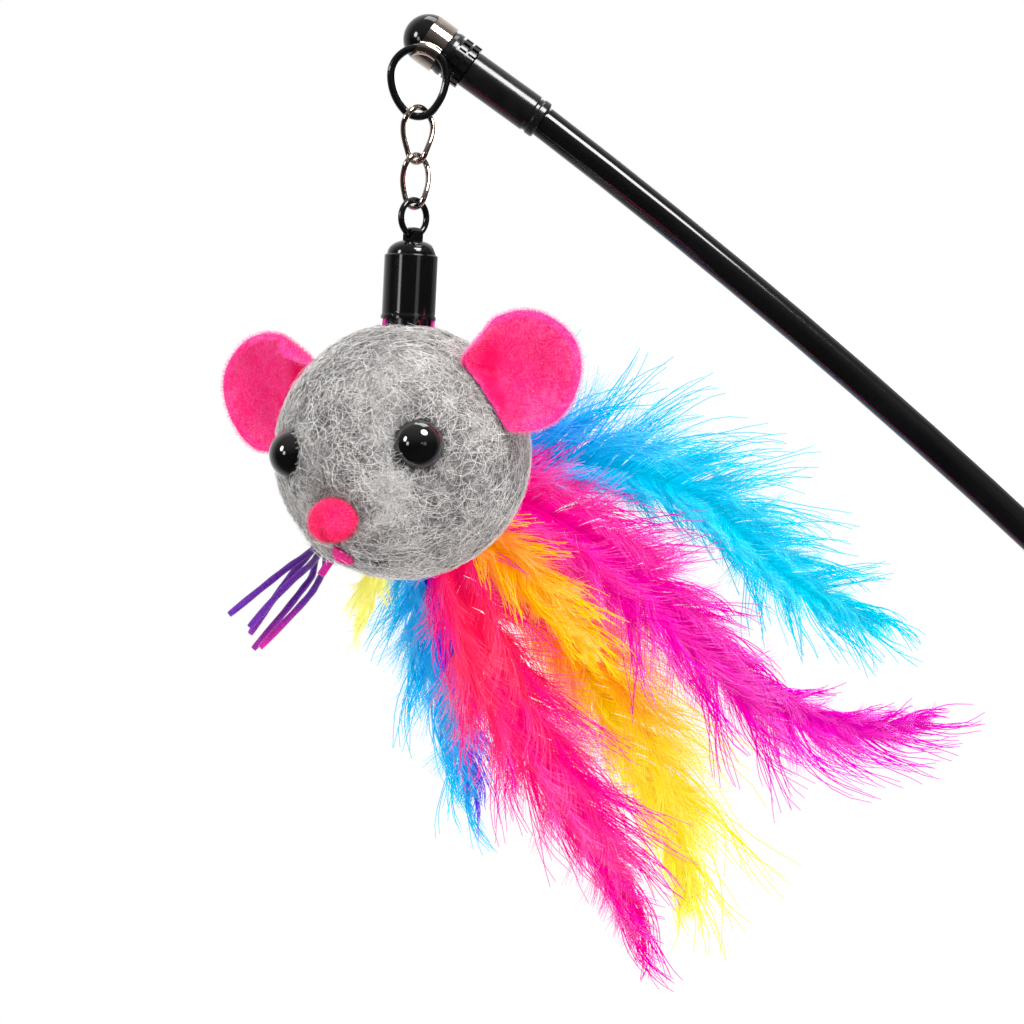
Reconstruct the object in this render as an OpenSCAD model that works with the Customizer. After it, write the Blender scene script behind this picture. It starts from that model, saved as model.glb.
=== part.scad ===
// Cat teaser wand: a bowed rod with a swivel tip, a ring, two chain links and a felt mouse.
// The origin is the middle of the grip. The wand lies in the XZ plane, and the mouse hangs down.

/* [Rod] */
// Diameter of the rod
rod_d = 6.1; // [5.6:0.1:6.3]
// Length of the bowed rod between the ferrule and the handle
bow_len = 219; // [160:1:240]
// Radius of the bow
bow_r = 1250; // [1100:10:1600]
// Slope that the bow adds where it leaves the ferrule, in degrees
bow_kick = 1.65; // [0:0.05:2]
// How much thinner the rod's two hidden ends are
spigot_step = 0.8; // [0.6:0.1:1]
// Slope of the tip below level, in degrees
tip_slope = 35.8; // [30:0.5:40]

/* [Ferrule and tip] */
// Outer diameter of the ferrule
ferrule_d = 7.4; // [7.2:0.1:7.8]
// Length of the ferrule
ferrule_len = 14.8; // [13:0.2:18]
// Depth of the rod in the ferrule
rod_socket = 9; // [7:0.5:10]
// Outer diameter of the end ring
end_ring_d = 7.45; // [7.3:0.05:8]
// Length of the end ring
end_ring_len = 2.4; // [2:0.1:3]
// Diameter of the ball at the tip
ball_d = 9.7; // [9.2:0.1:9.9]
// How far the ball's centre lies behind the middle of the band
ball_offset = 1.5; // [1.2:0.1:2]
// Diameter of the hidden spindle
spindle_d = 3; // [2.4:0.1:3.4]
// Depth of the spindle in the ball and in the ferrule
spindle_grip = 2.6; // [2:0.1:3]
// Outer diameter of the notched collar
collar_d = 9; // [8.4:0.1:9.1]
// Length of the notched collar
collar_len = 5.7; // [5.2:0.1:6.5]
// Number of notches round the collar
collar_notches = 16; // [8:1:20]

/* [Swivel band] */
// Outer diameter of the chrome band
band_d = 9.7; // [9.6:0.1:9.9]
// Width of the band
band_w = 4.2; // [3.8:0.1:4.6]
// Wall of the band
band_wall = 0.45; // [0.4:0.05:0.5]
// Wall of the raised tunnel
tunnel_wall = 0.45; // [0.4:0.05:0.6]

/* [Lure ring] */
// Wire diameter of the large ring
ring_wire = 1.5; // [1.3:0.05:1.55]
// Centreline radius of the ring's round top
ring_top_r = 5.25; // [5.1:0.05:5.5]
// Centreline radius of the ring's narrow bottom
ring_bottom_r = 3.6; // [3.3:0.1:4]
// From the centre of the round top down to the bottom of the centreline
ring_drop = 7.8; // [7.5:0.1:8.4]
// Distance of the ring's plane in front of the wand's axis
ring_front = 5.35; // [5.3:0.05:5.6]
// How far the ring's centre lies towards the handle from the middle of the band
ring_shift = 1.28; // [1:0.02:1.4]
// How far the ring's centre lies below the wand's axis
ring_below = 6.94; // [6.8:0.02:7.2]

/* [Chain] */
// Wire diameter of the chrome links
link_wire = 1.25; // [1.1:0.05:1.3]
// Centreline radius of the upper link's wide top end
upper_top_r = 3; // [2.9:0.05:3.1]
// Centreline radius of its narrow bottom end
upper_bottom_r = 2.2; // [2.1:0.05:2.4]
// Centreline radius of the lower link's top end
lower_top_r = 2.5; // [2.3:0.05:2.7]
// Centreline radius of its bottom end
lower_bottom_r = 2.3; // [2.2:0.05:2.5]
// Centreline height of the upper link
upper_link_h = 10.4; // [9.6:0.1:11]
// Centreline height of the lower link
lower_link_h = 9.9; // [9.4:0.1:10.6]
// Direction of a link's top end, turned from the ring's plane, in degrees
link_turn = 45; // [43:1:50]
// Wire diameter of the small ring
small_wire = 1.25; // [1.1:0.05:1.3]
// Centreline radius of the small ring
small_ring_r = 3.3; // [3.2:0.05:3.6]
// Lean of the hanging chain to the left, in degrees
chain_lean = 2.7; // [2:0.1:3]
// Gap left between two wires that hang in each other
wire_gap = 0.1; // [0.08:0.01:0.15]
// The same gap where the upper link crosses the large ring at a slant
hook_gap = 0.4; // [0.35:0.01:0.5]

/* [Bell cap] */
// Diameter of the cap's straight wall
cap_d = 10.45; // [10:0.05:11]
// Diameter of the dome's foot
dome_d = 9.5; // [9:0.1:9.8]
// Height of the dome
dome_h = 2.8; // [2.4:0.1:3.2]
// Height of the straight wall
cap_h = 12.3; // [11:0.1:13]
// Wall thickness of the cap
cap_wall = 0.8; // [0.6:0.05:1]
// Diameter of the rolled lip at the mouth
cap_lip_d = 10.8; // [10.6:0.05:11.1]
// Width of the eyelet strap
eyelet_w = 2.4; // [2:0.1:2.6]
// Thickness of the eyelet strap
eyelet_t = 0.8; // [0.7:0.05:0.9]
// Diameter of the plastic stem that joins the cap to the head
stem_d = 3.2; // [2.8:0.1:3.6]
// Depth of the stem in the head
stem_in_head = 11; // [8:0.5:14]

/* [Head] */
// Diameter of the felt head
head_d = 47.6; // [46:0.2:49]
// How far the snout swells out of the round head
snout_out = 1.6; // [1:0.1:2.2]
// How wide the snout's swelling is, as an angle from the nose, in degrees
snout_spread = 30; // [26:1:34]
// Gap between the cap's mouth and the top of the head
cap_gap = 1.2; // [1.1:0.1:1.6]
// Direction of the face, turned to the left of the front, in degrees
face_turn = -27.5; // [-36:0.5:-20]
// Roll of the head, its right side up, in degrees
head_roll = 4; // [0:0.5:6]
// Angle of each eye from the middle of the face, in degrees
eye_spread = 36.2; // [34:0.2:38]
// Height angle of the eyes above the head's middle, in degrees
eye_rise = 2.2; // [0:0.2:3]
// Diameter of a bead eye
eye_d = 9.7; // [9:0.1:10]
// Part of a bead that stands out of the head
eye_stand = 3.4; // [3:0.1:4]
// Diameter of an eye's shank
shank_d = 2; // [1.6:0.1:2.4]
// Length of an eye's shank behind the bead
shank_len = 4; // [3:0.5:5]
// Width of the nose
nose_d = 9.2; // [8.8:0.1:9.6]
// Depth of the nose
nose_h = 6.4; // [6:0.1:7]
// Direction of the nose, turned from the middle of the face, in degrees
nose_turn = -6; // [-9:0.5:0]
// Drop of the nose below level, in degrees
nose_fall = 26.5; // [24:0.5:29]
// Angle of the mouth's line from the nose, in degrees
mouth_angle = 19; // [18:0.5:21]
// Width of the tongue
tongue_w = 3.6; // [3:0.1:4]
// Thickness of the tongue
tongue_t = 1.2; // [1:0.1:1.4]
// Thickness of the mouth thread
thread_d = 0.6; // [0.5:0.05:0.7]

/* [Ears] */
// Diameter of an ear
ear_d = 23; // [21.6:0.2:24]
// Thickness of an ear's rim
ear_t = 3; // [2.6:0.1:3.2]
// Depth of the hollow in an ear
ear_hollow = 1.3; // [1:0.05:1.5]
// Distance of an ear's centre beyond the round head
ear_stand = 6; // [5.4:0.2:6.8]
// Angle of each ear from the middle of the face, in degrees
ear_spread = 88; // [85:1:91]
// Height angle of the ears, in degrees
ear_rise = 27; // [24:1:30]
// Direction that the right ear's hollow faces, from the middle of the face, in degrees
right_ear_face = 30; // [25:1:38]
// The same for the left ear
left_ear_face = -5; // [-12:1:0]

/* [Feathers] */
// Thickness of a feather along its shaft
vane_t = 1; // [0.8:0.05:1.1]
// Diameter of a quill
quill_d = 1.4; // [1.2:0.1:1.5]
// Depth of a quill in the head
quill_in = 5; // [4:0.5:6]
// Length of the blue-green feather
cyan_len = 90; // [80:1:95]
// Width of the blue-green feather
cyan_w = 29; // [20:1:31]
// Length of the magenta feather
magenta_len = 104; // [90:1:108]
// Width of the magenta feather
magenta_w = 22; // [16:1:24]
// Length of the orange feather
orange_len = 97; // [85:1:101]
// Width of the orange feather
orange_w = 29; // [20:1:31]
// Length of the pink feather
pink_len = 88; // [78:1:92]
// Width of the pink feather
pink_w = 25; // [18:1:27]
// Length of the blue feather
blue_len = 55; // [48:1:60]
// Width of the blue feather
blue_w = 19; // [14:1:20]
// Length of the amber feather
amber_len = 34; // [30:1:38]
// Width of the amber feather
amber_w = 12; // [9:1:13]
// Length of the pale yellow feather
pale_len = 18; // [15:1:20]
// Width of the pale yellow feather
pale_w = 10; // [8:1:11]

/* [Tassel] */
// Diameter of a tassel cord
cord_d = 1.3; // [1.2:0.05:1.4]
// Diameter of the knot that binds the cords
binding_d = 5.6; // [5.4:0.1:6]
// Length of the knot
binding_len = 4; // [3:0.5:5]
// Width of the felt tab under the chin
tab_w = 3; // [2.6:0.1:3.4]
// Length of the felt tab
tab_len = 4; // [3.6:0.1:4.4]
// Thickness of the felt tab
tab_t = 1.2; // [1:0.1:1.4]

/* [Handle] */
// Diameter of the grip
grip_d = 13; // [12:0.2:15]
// Length of the grip
grip_len = 100; // [80:2:110]
// Diameter of the handle's core tube
core_d = 8.6; // [8:0.1:9.4]
// Depth of the rod in the core tube
core_socket = 22; // [15:1:30]
// Diameter of the collar at the top of the handle
handle_collar_d = 11; // [10.4:0.1:12]
// Length of that collar
handle_collar_len = 9; // [7:0.5:12]
// Height of the butt cap's dome
butt_h = 5; // [4:0.2:6]
// Depth of the butt cap's plug in the core tube
butt_plug = 8; // [6:0.5:12]

/* [Hidden] */
$fn = 48;

// Clearances: between fixed fits, round a running fit, and round a soft piece
fit_gap = 0.03;
run_gap = 0.12;
soft_gap = 0.3;
// One overrun serves all cuts
over = 1;

// Shares and angles that shape single parts
row_share = 0.26;
notch_w_share = 0.45;
land_share = 0.8;
plug_share = 0.6;
lip_share = 1.5;
dome_power = 0.8;
eyelet_round_share = 0.9;
eyelet_root_share = 0.4;
ribbon_w_share = 0.4;
ribbon_t_share = 1.25;
ribbon_rise_share = 1.5;
tunnel_from = 20;
tunnel_turn = 90;
mouth_from = -94;
mouth_turn = 42;
tongue_turn = -12;
cup_power = 1.5;
tab_az = -79;
tab_el = -56;

// The wand's own points: the bow's angles, and where the rod starts and ends
bow_turn = bow_len / bow_r * 180 / PI;
bow_slope = tip_slope + bow_kick;
handle_slope = bow_slope + bow_turn;
ferrule_start = band_w / 2 + run_gap + collar_len;
ferrule_end = ferrule_start + ferrule_len + end_ring_len;

function along(slope) = [cos(slope), 0, -sin(slope)];
function arc_step(r, slope, turn) =
    r * [sin(slope + turn) - sin(slope), 0, cos(slope + turn) - cos(slope)];

rod_out = (ferrule_end + run_gap) * along(tip_slope);
bow_out = rod_out + arc_step(bow_r, bow_slope, bow_turn);
grip_mid = bow_out + (handle_collar_len + grip_len / 2) * along(handle_slope);

// Centre of the large ring's round top, and the hanging point at its bottom
ring_c = ring_shift * along(tip_slope)
    - ring_below * [sin(tip_slope), 0, cos(tip_slope)] + [0, -ring_front, 0];
hang_point = ring_c - [0, 0, ring_drop];

// Depths below the hanging point, along the leaning chain
upper_top = -(ring_wire + link_wire) / 2 - hook_gap;
lower_top = upper_top + upper_link_h - link_wire - wire_gap;
small_top = lower_top + lower_link_h - (link_wire + small_wire) / 2 - wire_gap;
small_bottom = small_top + 2 * small_ring_r;
dome_top = small_bottom + small_wire / 2 + soft_gap;
cap_top = dome_top + dome_h;
cap_bottom = cap_top + cap_h;
head_depth = cap_bottom + cap_gap + head_d / 2;
head_c = hang_point - head_depth * [sin(chain_lean), 0, cos(chain_lean)];

// Ring outline: the side arcs that join the round top to the narrow bottom
ring_low = ring_drop - ring_bottom_r;
ring_r_step = ring_top_r - ring_bottom_r;
side_shift = (ring_low * ring_low - ring_r_step * ring_r_step) / (2 * ring_r_step);
side_r = ring_top_r + side_shift;
side_turn = atan2(ring_low, side_shift);

// Bore radii and the muzzle's direction
spigot_d = rod_d - spigot_step;
rod_bore_r = spigot_d / 2 + fit_gap;
band_bore_r = band_d / 2 - band_wall;
neck_r = band_bore_r - run_gap;
tunnel_bore_r = ring_wire / 2 + run_gap;

// Feathers: layer behind the head's centre as a share of its radius, place round the head in
// degrees, the lean of the layer to the back, and four directions along the shaft in degrees
layer_shares = [0.795, 0.717, 0.869, 0.639, 0.795, 0.557, 0.717];
root_places = [8, 25, 50, 62, 80, 48, 104];
layer_leans = [0.04, 0, 0.1, -0.07, 0.04, -0.13, 0];
shaft_turns = [[-4, 8, 48, 20], [14, 42, 42, -16], [36, 57, 60, 78], [78, 66, 54, 70],
    [84, 80, 72, 84], [44, 44, 46, 50], [100, 103, 106, 110]];
vane_stations = 22;
// Depth of the notches between the clumps of barbs, and the vane's edge thickness
notch_share = 0.26;
edge_share = 0.3;
// How soon a vane reaches its full width, how full it is, and how much its ridge and quill taper
vane_peak = 0.62;
vane_power = 0.75;
ridge_taper = 0.5;
quill_taper = 0.8;

// Tassel cords: points from the middle of the head as shares of its radius, chosen by hand. Each
// starts on the knot's face.
cord_shares = [
    [[-0.574, 0.68, -0.656], [-0.627, 0.68, -0.656], [-0.697, 0.533, -0.738], [-0.779, 0.328, -0.82],
        [-0.922, 0.164, -0.922], [-1.127, 0.041, -1.086], [-1.377, -0.041, -1.291]],
    [[-0.574, 0.648, -0.734], [-0.627, 0.648, -0.734], [-0.689, 0.492, -0.82], [-0.738, 0.287, -0.893],
        [-0.84, 0.102, -0.984], [-1.004, -0.02, -1.148], [-1.214, -0.096, -1.389]],
    [[-0.574, 0.766, -0.664], [-0.627, 0.766, -0.664], [-0.717, 0.635, -0.758], [-0.799, 0.451, -0.861],
        [-0.902, 0.307, -0.984], [-1.045, 0.184, -1.189], [-1.217, 0.077, -1.446]],
    [[-0.574, 0.783, -0.746], [-0.627, 0.783, -0.746], [-0.713, 0.697, -0.844], [-0.738, 0.512, -0.984],
        [-0.82, 0.369, -1.107], [-0.963, 0.246, -1.291], [-1.194, 0.152, -1.569]],
    [[-0.574, 0.709, -0.787], [-0.627, 0.709, -0.795], [-0.639, 0.533, -0.926], [-0.676, 0.369, -1.016],
        [-0.738, 0.225, -1.127], [-0.881, 0.102, -1.291], [-1.133, -0.007, -1.553]]];
knot_shares = [-0.574, 0.725, -0.73];
cord_sides = 8;
cord_steps = 12;

// Places a shape so that its +Z points along the wand towards the handle, s from the band
module on_wand(s) {
    translate(-grip_mid + s * along(tip_slope)) rotate([0, 90 + tip_slope, 0]) children();
}
// The same on the straight handle, s from the handle's top
module on_handle(s) {
    translate(-grip_mid + bow_out + s * along(handle_slope)) rotate([0, 90 + handle_slope, 0]) children();
}
// Hangs a shape at a depth below the ring, turned about the chain
module on_chain(depth, turn = 0) {
    translate(-grip_mid + hang_point) rotate([0, chain_lean, 0]) translate([0, 0, -depth])
        rotate([0, 0, turn]) children();
}
// Turns +Z outwards from the head: az from the front towards the right, el upwards
module aim(az, el) {
    rotate([90 - el, 0, az]) children();
}
module at_head() {
    translate(-grip_mid + head_c) children();
}
// A round bar whose outer edges are rounded by r
module round_rod(d, len, r) {
    rotate_extrude() polygon([
        [0, 0], for (a = [0:15:90]) [d / 2 - r + r * sin(a), r - r * cos(a)],
        for (a = [0:15:90]) [d / 2 - r + r * cos(a), len - r + r * sin(a)], [0, len]]);
}
// A stretch of round bar that bends in the XZ plane: it starts at the origin along +X at the
// given slope and curves down
module bowed_bar(d, r, slope, turn) {
    translate([-r * sin(slope), 0, -r * cos(slope)]) rotate([90, 0, 0])
        rotate([0, 0, 90 - slope - turn]) rotate_extrude(angle = turn, $fn = 720)
        translate([r, 0]) circle(d = d, $fn = 48);
}
// Part of a wire ring in the XZ plane, from one angle on, counted from +X towards +Z
module wire_arc(r, d, from, turn) {
    rotate([90, 0, 0]) rotate([0, 0, from]) rotate_extrude(angle = turn, $fn = 96)
        translate([r, 0]) circle(d = d, $fn = 32);
}

module wand_rod() {
    color("#101012") {
        on_wand(ferrule_end - end_ring_len - rod_socket)
            cylinder(d = spigot_d, h = rod_socket + end_ring_len + spigot_d);
        translate(-grip_mid + rod_out) bowed_bar(rod_d, bow_r, bow_slope, bow_turn);
        on_handle(-spigot_d) cylinder(d = spigot_d, h = spigot_d + handle_collar_len + core_socket);
    }
}

module tip_ferrule() {
    edge = (ferrule_d - rod_d) / 4;
    color("#141416") on_wand(ferrule_start) difference() {
        round_rod(ferrule_d, ferrule_len, edge);
        translate([0, 0, ferrule_len - rod_socket - fit_gap]) cylinder(r = rod_bore_r, h = rod_socket + over);
        translate([0, 0, -over]) cylinder(d = spindle_d + 2 * fit_gap, h = spindle_grip + over);
    }
}

module ferrule_ring() {
    groove = end_ring_len / 5;
    color("#0d0d0f") on_wand(ferrule_end - end_ring_len) difference() {
        union() {
            translate([0, 0, groove]) round_rod(end_ring_d, end_ring_len - groove, groove);
            cylinder(d = ferrule_d - groove, h = end_ring_len / 2);
        }
        translate([0, 0, -over]) cylinder(r = rod_bore_r, h = end_ring_len + 2 * over);
    }
}

module notched_collar() {
    lip = collar_len / 6;
    core = collar_d - lip;
    row = collar_len * row_share;
    notch_w = PI * collar_d / collar_notches * notch_w_share;
    color("#101012") on_wand(band_w / 2 + run_gap) difference() {
        union() {
            cylinder(d = core, h = collar_len);
            cylinder(d1 = neck_r * 2, d2 = collar_d, h = lip);
            translate([0, 0, lip]) cylinder(d = collar_d, h = lip * land_share);
            for (k = [1, 2]) translate([0, 0, collar_len - k * row - (k - 1) * lip / 2])
                cylinder(d = collar_d, h = row);
        }
        for (k = [0:collar_notches - 1]) rotate([0, 0, k * 360 / collar_notches])
            translate([collar_d / 2, 0, collar_len / 2 + row])
                cube([lip, notch_w, collar_len - row], center = true);
        translate([0, 0, -over]) cylinder(d = spindle_d + 2 * fit_gap, h = collar_len + 2 * over);
    }
}

module neck_bush() {
    len = band_w + 2 * run_gap - 2 * fit_gap;
    color("#2a2a2c") on_wand(-len / 2) difference() {
        cylinder(r = neck_r, h = len);
        translate([0, 0, -over]) cylinder(d = spindle_d + 2 * fit_gap, h = len + 2 * over);
    }
}

module tip_spindle() {
    from = -band_w / 2 - run_gap - spindle_grip + fit_gap;
    to = ferrule_start + spindle_grip - fit_gap;
    color("#8c8c90") on_wand(from) cylinder(d = spindle_d, h = to - from);
}

module ball_cap() {
    face = band_w / 2 + run_gap;
    color("#0c0c0e") on_wand(0) difference() {
        translate([0, 0, -ball_offset]) sphere(d = ball_d, $fn = 96);
        translate([-ball_d, -ball_d, -face]) cube(2 * ball_d);
        translate([0, 0, -face - spindle_grip])
            cylinder(d = spindle_d + 2 * fit_gap, h = spindle_grip + over);
    }
}

module handle_collar() {
    edge = handle_collar_len / 8;
    color("#141416") on_handle(fit_gap) difference() {
        union() {
            round_rod(handle_collar_d, handle_collar_len - 2 * fit_gap, edge);
            translate([0, 0, handle_collar_len / 2])
                cylinder(d = grip_d - edge, h = handle_collar_len / 2 - 2 * fit_gap);
        }
        translate([0, 0, -over]) cylinder(r = rod_bore_r, h = handle_collar_len + 2 * over);
    }
}

module handle_core() {
    color("#2a2a2c") on_handle(handle_collar_len) difference() {
        cylinder(d = core_d, h = grip_len);
        translate([0, 0, -over]) cylinder(r = rod_bore_r, h = core_socket + fit_gap + over);
        translate([0, 0, grip_len - butt_plug - fit_gap])
            cylinder(d = core_d * plug_share, h = butt_plug + over);
    }
}

module grip_sleeve() {
    color("#1b1b1d") on_handle(handle_collar_len) difference() {
        cylinder(d = grip_d, h = grip_len);
        translate([0, 0, -over]) cylinder(d = core_d + 2 * fit_gap, h = grip_len + 2 * over);
    }
}

module butt_cap() {
    flange = butt_h / 2;
    color("#101012") on_handle(handle_collar_len + grip_len + fit_gap) {
        rotate_extrude() polygon([
            [0, 0], [grip_d / 2, 0], [grip_d / 2, flange],
            for (a = [0:10:90])
                [grip_d / 2 - flange + flange * cos(a), flange + (butt_h - flange) * sin(a)],
            [0, butt_h]]);
        translate([0, 0, -butt_plug]) cylinder(d = core_d * plug_share - 2 * fit_gap, h = butt_plug);
    }
}

// The chrome band: a plain hoop with a raised tunnel that follows the ring's round top
module swivel_band() {
    color("#c9c4bd") difference() {
        union() {
            on_wand(-band_w / 2) cylinder(d = band_d, h = band_w, $fn = 96);
            intersection() {
                on_wand(-band_w / 2) cylinder(r = ring_front + ring_wire + tunnel_wall, h = band_w);
                translate(-grip_mid + ring_c)
                    wire_arc(ring_top_r, 2 * (tunnel_bore_r + tunnel_wall), tunnel_from, tunnel_turn);
            }
        }
        on_wand(-band_w) cylinder(r = band_bore_r, h = 2 * band_w, $fn = 96);
        translate(-grip_mid + ring_c) rotate([90, 0, 0]) rotate_extrude($fn = 96)
            translate([ring_top_r, 0]) circle(r = tunnel_bore_r, $fn = 32);
    }
}

// The large ring's centreline: a round top, two flatter sides and a narrow bottom
ring_steps = 20;
function arc_points(c, r, from, turn, n) =
    [for (k = [0:n - 1]) let (a = from + turn * k / n) c + r * [cos(a), 0, sin(a)]];
module lure_ring() {
    route = concat(
        arc_points([0, 0, 0], ring_top_r, 0, 180, ring_steps),
        arc_points([side_shift, 0, 0], side_r, 180, side_turn, ring_steps / 2),
        arc_points([0, 0, -ring_low], ring_bottom_r, 180 + side_turn, 180 - 2 * side_turn, ring_steps / 2),
        arc_points([-side_shift, 0, 0], side_r, -side_turn, side_turn, ring_steps / 2));
    color("#0c0c0e") translate(-grip_mid + ring_c)
        polyhedron(tube_points(route, ring_wire / 2, ring_sides, true),
            tube_faces(len(route), ring_sides, true));
}

// A twisted link: a long loop of wire whose two ends stand square to each other. Its outline is
// two circles of different size with straight sides that touch both, and the middle is twisted.
link_twist = 90;
link_rings = 44;
link_sides = 12;
ring_sides = 16;
function polar(r, a) = r * [cos(a), sin(a)];
function loop_point(u, rt, rb, h) =
    let (apart = h - rt - rb, lean = asin((rt - rb) / apart),
        side = sqrt(apart * apart - (rt - rb) * (rt - rb)),
        top = [0, h / 2 - rt], low = [0, rb - h / 2],
        over_top = rt * (180 + 2 * lean) * PI / 180, under = rb * (180 - 2 * lean) * PI / 180,
        d = u * (over_top + under + 2 * side))
    d < over_top ? top + polar(rt, -lean + d / rt * 180 / PI)
    : d < over_top + side
        ? top + polar(rt, 180 + lean) + (d - over_top) / side * (low - top + polar(rb - rt, 180 + lean))
    : d < over_top + side + under ? low + polar(rb, 180 + lean + (d - over_top - side) / rb * 180 / PI)
    : low + polar(rb, -lean) + (d - over_top - side - under) / side * (top - low + polar(rt - rb, -lean));
function twisted(p, h) =
    let (t = 0.5 - p[1] / h, a = -link_twist * t * t * (3 - 2 * t))
    [p[0] * cos(a), p[0] * sin(a), p[1]];
function unit(v) = v / norm(v);
// Rings of points round a route, each square to the route's direction there
function tube_points(route, r, sides, closed) =
    let (n = len(route))
    [for (i = [0:n - 1])
        let (before = closed ? route[(i + n - 1) % n] : route[max(i - 1, 0)],
            after = closed ? route[(i + 1) % n] : route[min(i + 1, n - 1)],
            ahead = unit(after - before),
            across = unit(cross(ahead, abs(ahead[1]) > 0.97 ? [1, 0, 0] : [0, 1, 0])),
            up = cross(ahead, across))
        for (k = [0:sides - 1])
            route[i] + r * (across * cos(k * 360 / sides) - up * sin(k * 360 / sides))];
function tube_faces(n, sides, closed) = [
    for (i = [0:(closed ? n - 1 : n - 2)]) for (k = [0:sides - 1])
        let (a = i * sides + k, b = i * sides + (k + 1) % sides, c = ((i + 1) % n) * sides + k,
            d = ((i + 1) % n) * sides + (k + 1) % sides)
        each [[a, b, d], [a, d, c]],
    if (!closed) for (k = [1:sides - 2]) let (last = (n - 1) * sides)
        each [[0, k + 1, k], [last, last + k, last + k + 1]]];
module link(rt, rb, h) {
    route = [for (i = [0:link_rings - 1]) twisted(loop_point(i / link_rings, rt, rb, h), h)];
    polyhedron(tube_points(route, link_wire / 2, link_sides, true),
        tube_faces(link_rings, link_sides, true));
}

module link_upper() {
    color("#cfcac2") on_chain(upper_top + upper_link_h / 2, link_turn)
        link(upper_top_r, upper_bottom_r, upper_link_h);
}
module link_lower() {
    color("#cfcac2") on_chain(lower_top + lower_link_h / 2, link_turn)
        link(lower_top_r, lower_bottom_r, lower_link_h);
}
module small_ring() {
    color("#0c0c0e") on_chain((small_top + small_bottom) / 2, link_turn) rotate([90, 0, 0])
        rotate_extrude($fn = 96) translate([small_ring_r, 0]) circle(d = small_wire, $fn = 32);
}

// The eyelet is a strap bent into an arch, with the small ring's wire through it
module eyelet() {
    hole = small_wire / 2 + run_gap;
    top = small_wire / 2 + wire_gap + eyelet_t;
    leg = dome_h / 2 + dome_top - small_bottom;
    round_r = eyelet_w * eyelet_round_share;
    arch = hole + eyelet_t;
    difference() {
        intersection() {
            union() {
                translate([0, 0, top - arch])
                    rotate([0, 90, 0]) cylinder(r = arch, h = eyelet_w, center = true);
                translate([-eyelet_w / 2, -arch, -leg]) cube([eyelet_w, 2 * arch, leg + top - arch]);
            }
            translate([0, 0, top - round_r]) union() {
                rotate([90, 0, 0]) cylinder(r = round_r, h = 4 * hole, center = true);
                translate([-eyelet_w, -2 * hole, -2 * eyelet_w]) cube([2 * eyelet_w, 4 * hole, 2 * eyelet_w]);
            }
        }
        translate([0, 0, small_ring_r]) rotate([90, 0, 0]) rotate_extrude($fn = 96)
            translate([small_ring_r, 0]) circle(r = hole, $fn = 32);
        translate([0, 0, top - arch]) rotate([0, 90, 0]) cylinder(r = hole, h = 2 * eyelet_w, center = true);
    }
}

module bell_cap() {
    inner = cap_d / 2 - cap_wall;
    lip = (cap_lip_d - cap_d) * lip_share;
    steps = [0:6:90];
    color("#0c0c0e") {
        on_chain(cap_bottom) difference() {
            rotate_extrude($fn = 96) polygon([
                [0, 0], [cap_lip_d / 2, 0], [cap_lip_d / 2, lip], [cap_d / 2, 2 * lip],
                [cap_d / 2, cap_h - lip / 2],
                [cap_d / 2 - lip / 2, cap_h], [dome_d / 2, cap_h],
                for (a = steps) [dome_d / 2 * pow(cos(a), dome_power), cap_h + dome_h * sin(a)],
                [0, cap_h + dome_h]]);
            translate([0, 0, -over]) cylinder(r = inner, h = cap_h - 2 * cap_wall + over);
            cylinder(d = stem_d + 2 * fit_gap, h = cap_h);
        }
        on_chain(small_bottom, link_turn - 90) difference() {
            rotate([0, 0, 90]) eyelet();
            translate([0, 0, -dome_h - dome_top + small_bottom - over])
                cylinder(d = cap_d, h = dome_h * eyelet_root_share + over);
        }
    }
}

module head_stem() {
    len = cap_h - cap_wall + cap_gap + stem_in_head;
    color("#2a2a2c") on_chain(cap_bottom + cap_gap + stem_in_head) cylinder(d = stem_d, h = len - fit_gap);
}

module cap_gasket() {
    r = cap_d / 2 - cap_wall - fit_gap;
    color("#151517") difference() {
        on_chain(cap_bottom + cap_gap + r / 3) cylinder(r = r, h = cap_h / 3);
        on_chain(cap_bottom + cap_gap + r) cylinder(d = stem_d + 2 * fit_gap, h = cap_h);
        at_head() sphere(d = head_d + 2 * fit_gap, $fn = 96);
    }
}

// Two ends of the magenta ribbon that show between the cap's mouth and the head
module ribbon_tabs() {
    out = cap_d / 2 - cap_wall / 2;
    deep = cap_wall;
    wide = cap_d * ribbon_w_share;
    rise = cap_gap * ribbon_rise_share;
    color("#d4149a") difference() {
        on_chain(cap_bottom + rise) for (side = [0, 180]) rotate([0, 0, side])
            translate([out - deep, -wide / 2, 0]) cube([deep * ribbon_t_share, wide, rise - fit_gap]);
        at_head() sphere(d = head_d + 2 * fit_gap, $fn = 96);
        on_chain(cap_bottom + cap_gap * 2) cylinder(r = cap_d / 2 - cap_wall, h = cap_h);
    }
}

// The head's radius at an angle from the nose: a ball with a soft swelling for the snout
head_r = head_d / 2;
function head_out(a) = head_r + snout_out * exp(-a * a / (snout_spread * snout_spread));

// Turns +Z to a place on the face, counted from the middle of the face
module on_face(az, el) {
    at_head() rotate([0, -head_roll, 0]) aim(face_turn + az, el) children();
}

module head() {
    color("#8f8f92") difference() {
        on_face(nose_turn, -nose_fall) rotate_extrude($fn = 128) polygon([
            for (a = [0:5:180]) head_out(a) * [sin(a), cos(a)]]);
        for (side = [-1, 1]) on_face(side * eye_spread, eye_rise) eye_form(run_gap);
        nose_form(soft_gap);
        on_chain(cap_bottom + cap_gap + stem_in_head + fit_gap)
            cylinder(d = stem_d + 2 * fit_gap, h = head_r);
        for (i = [0:len(root_places) - 1]) quill_bore(i);
    }
}

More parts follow.
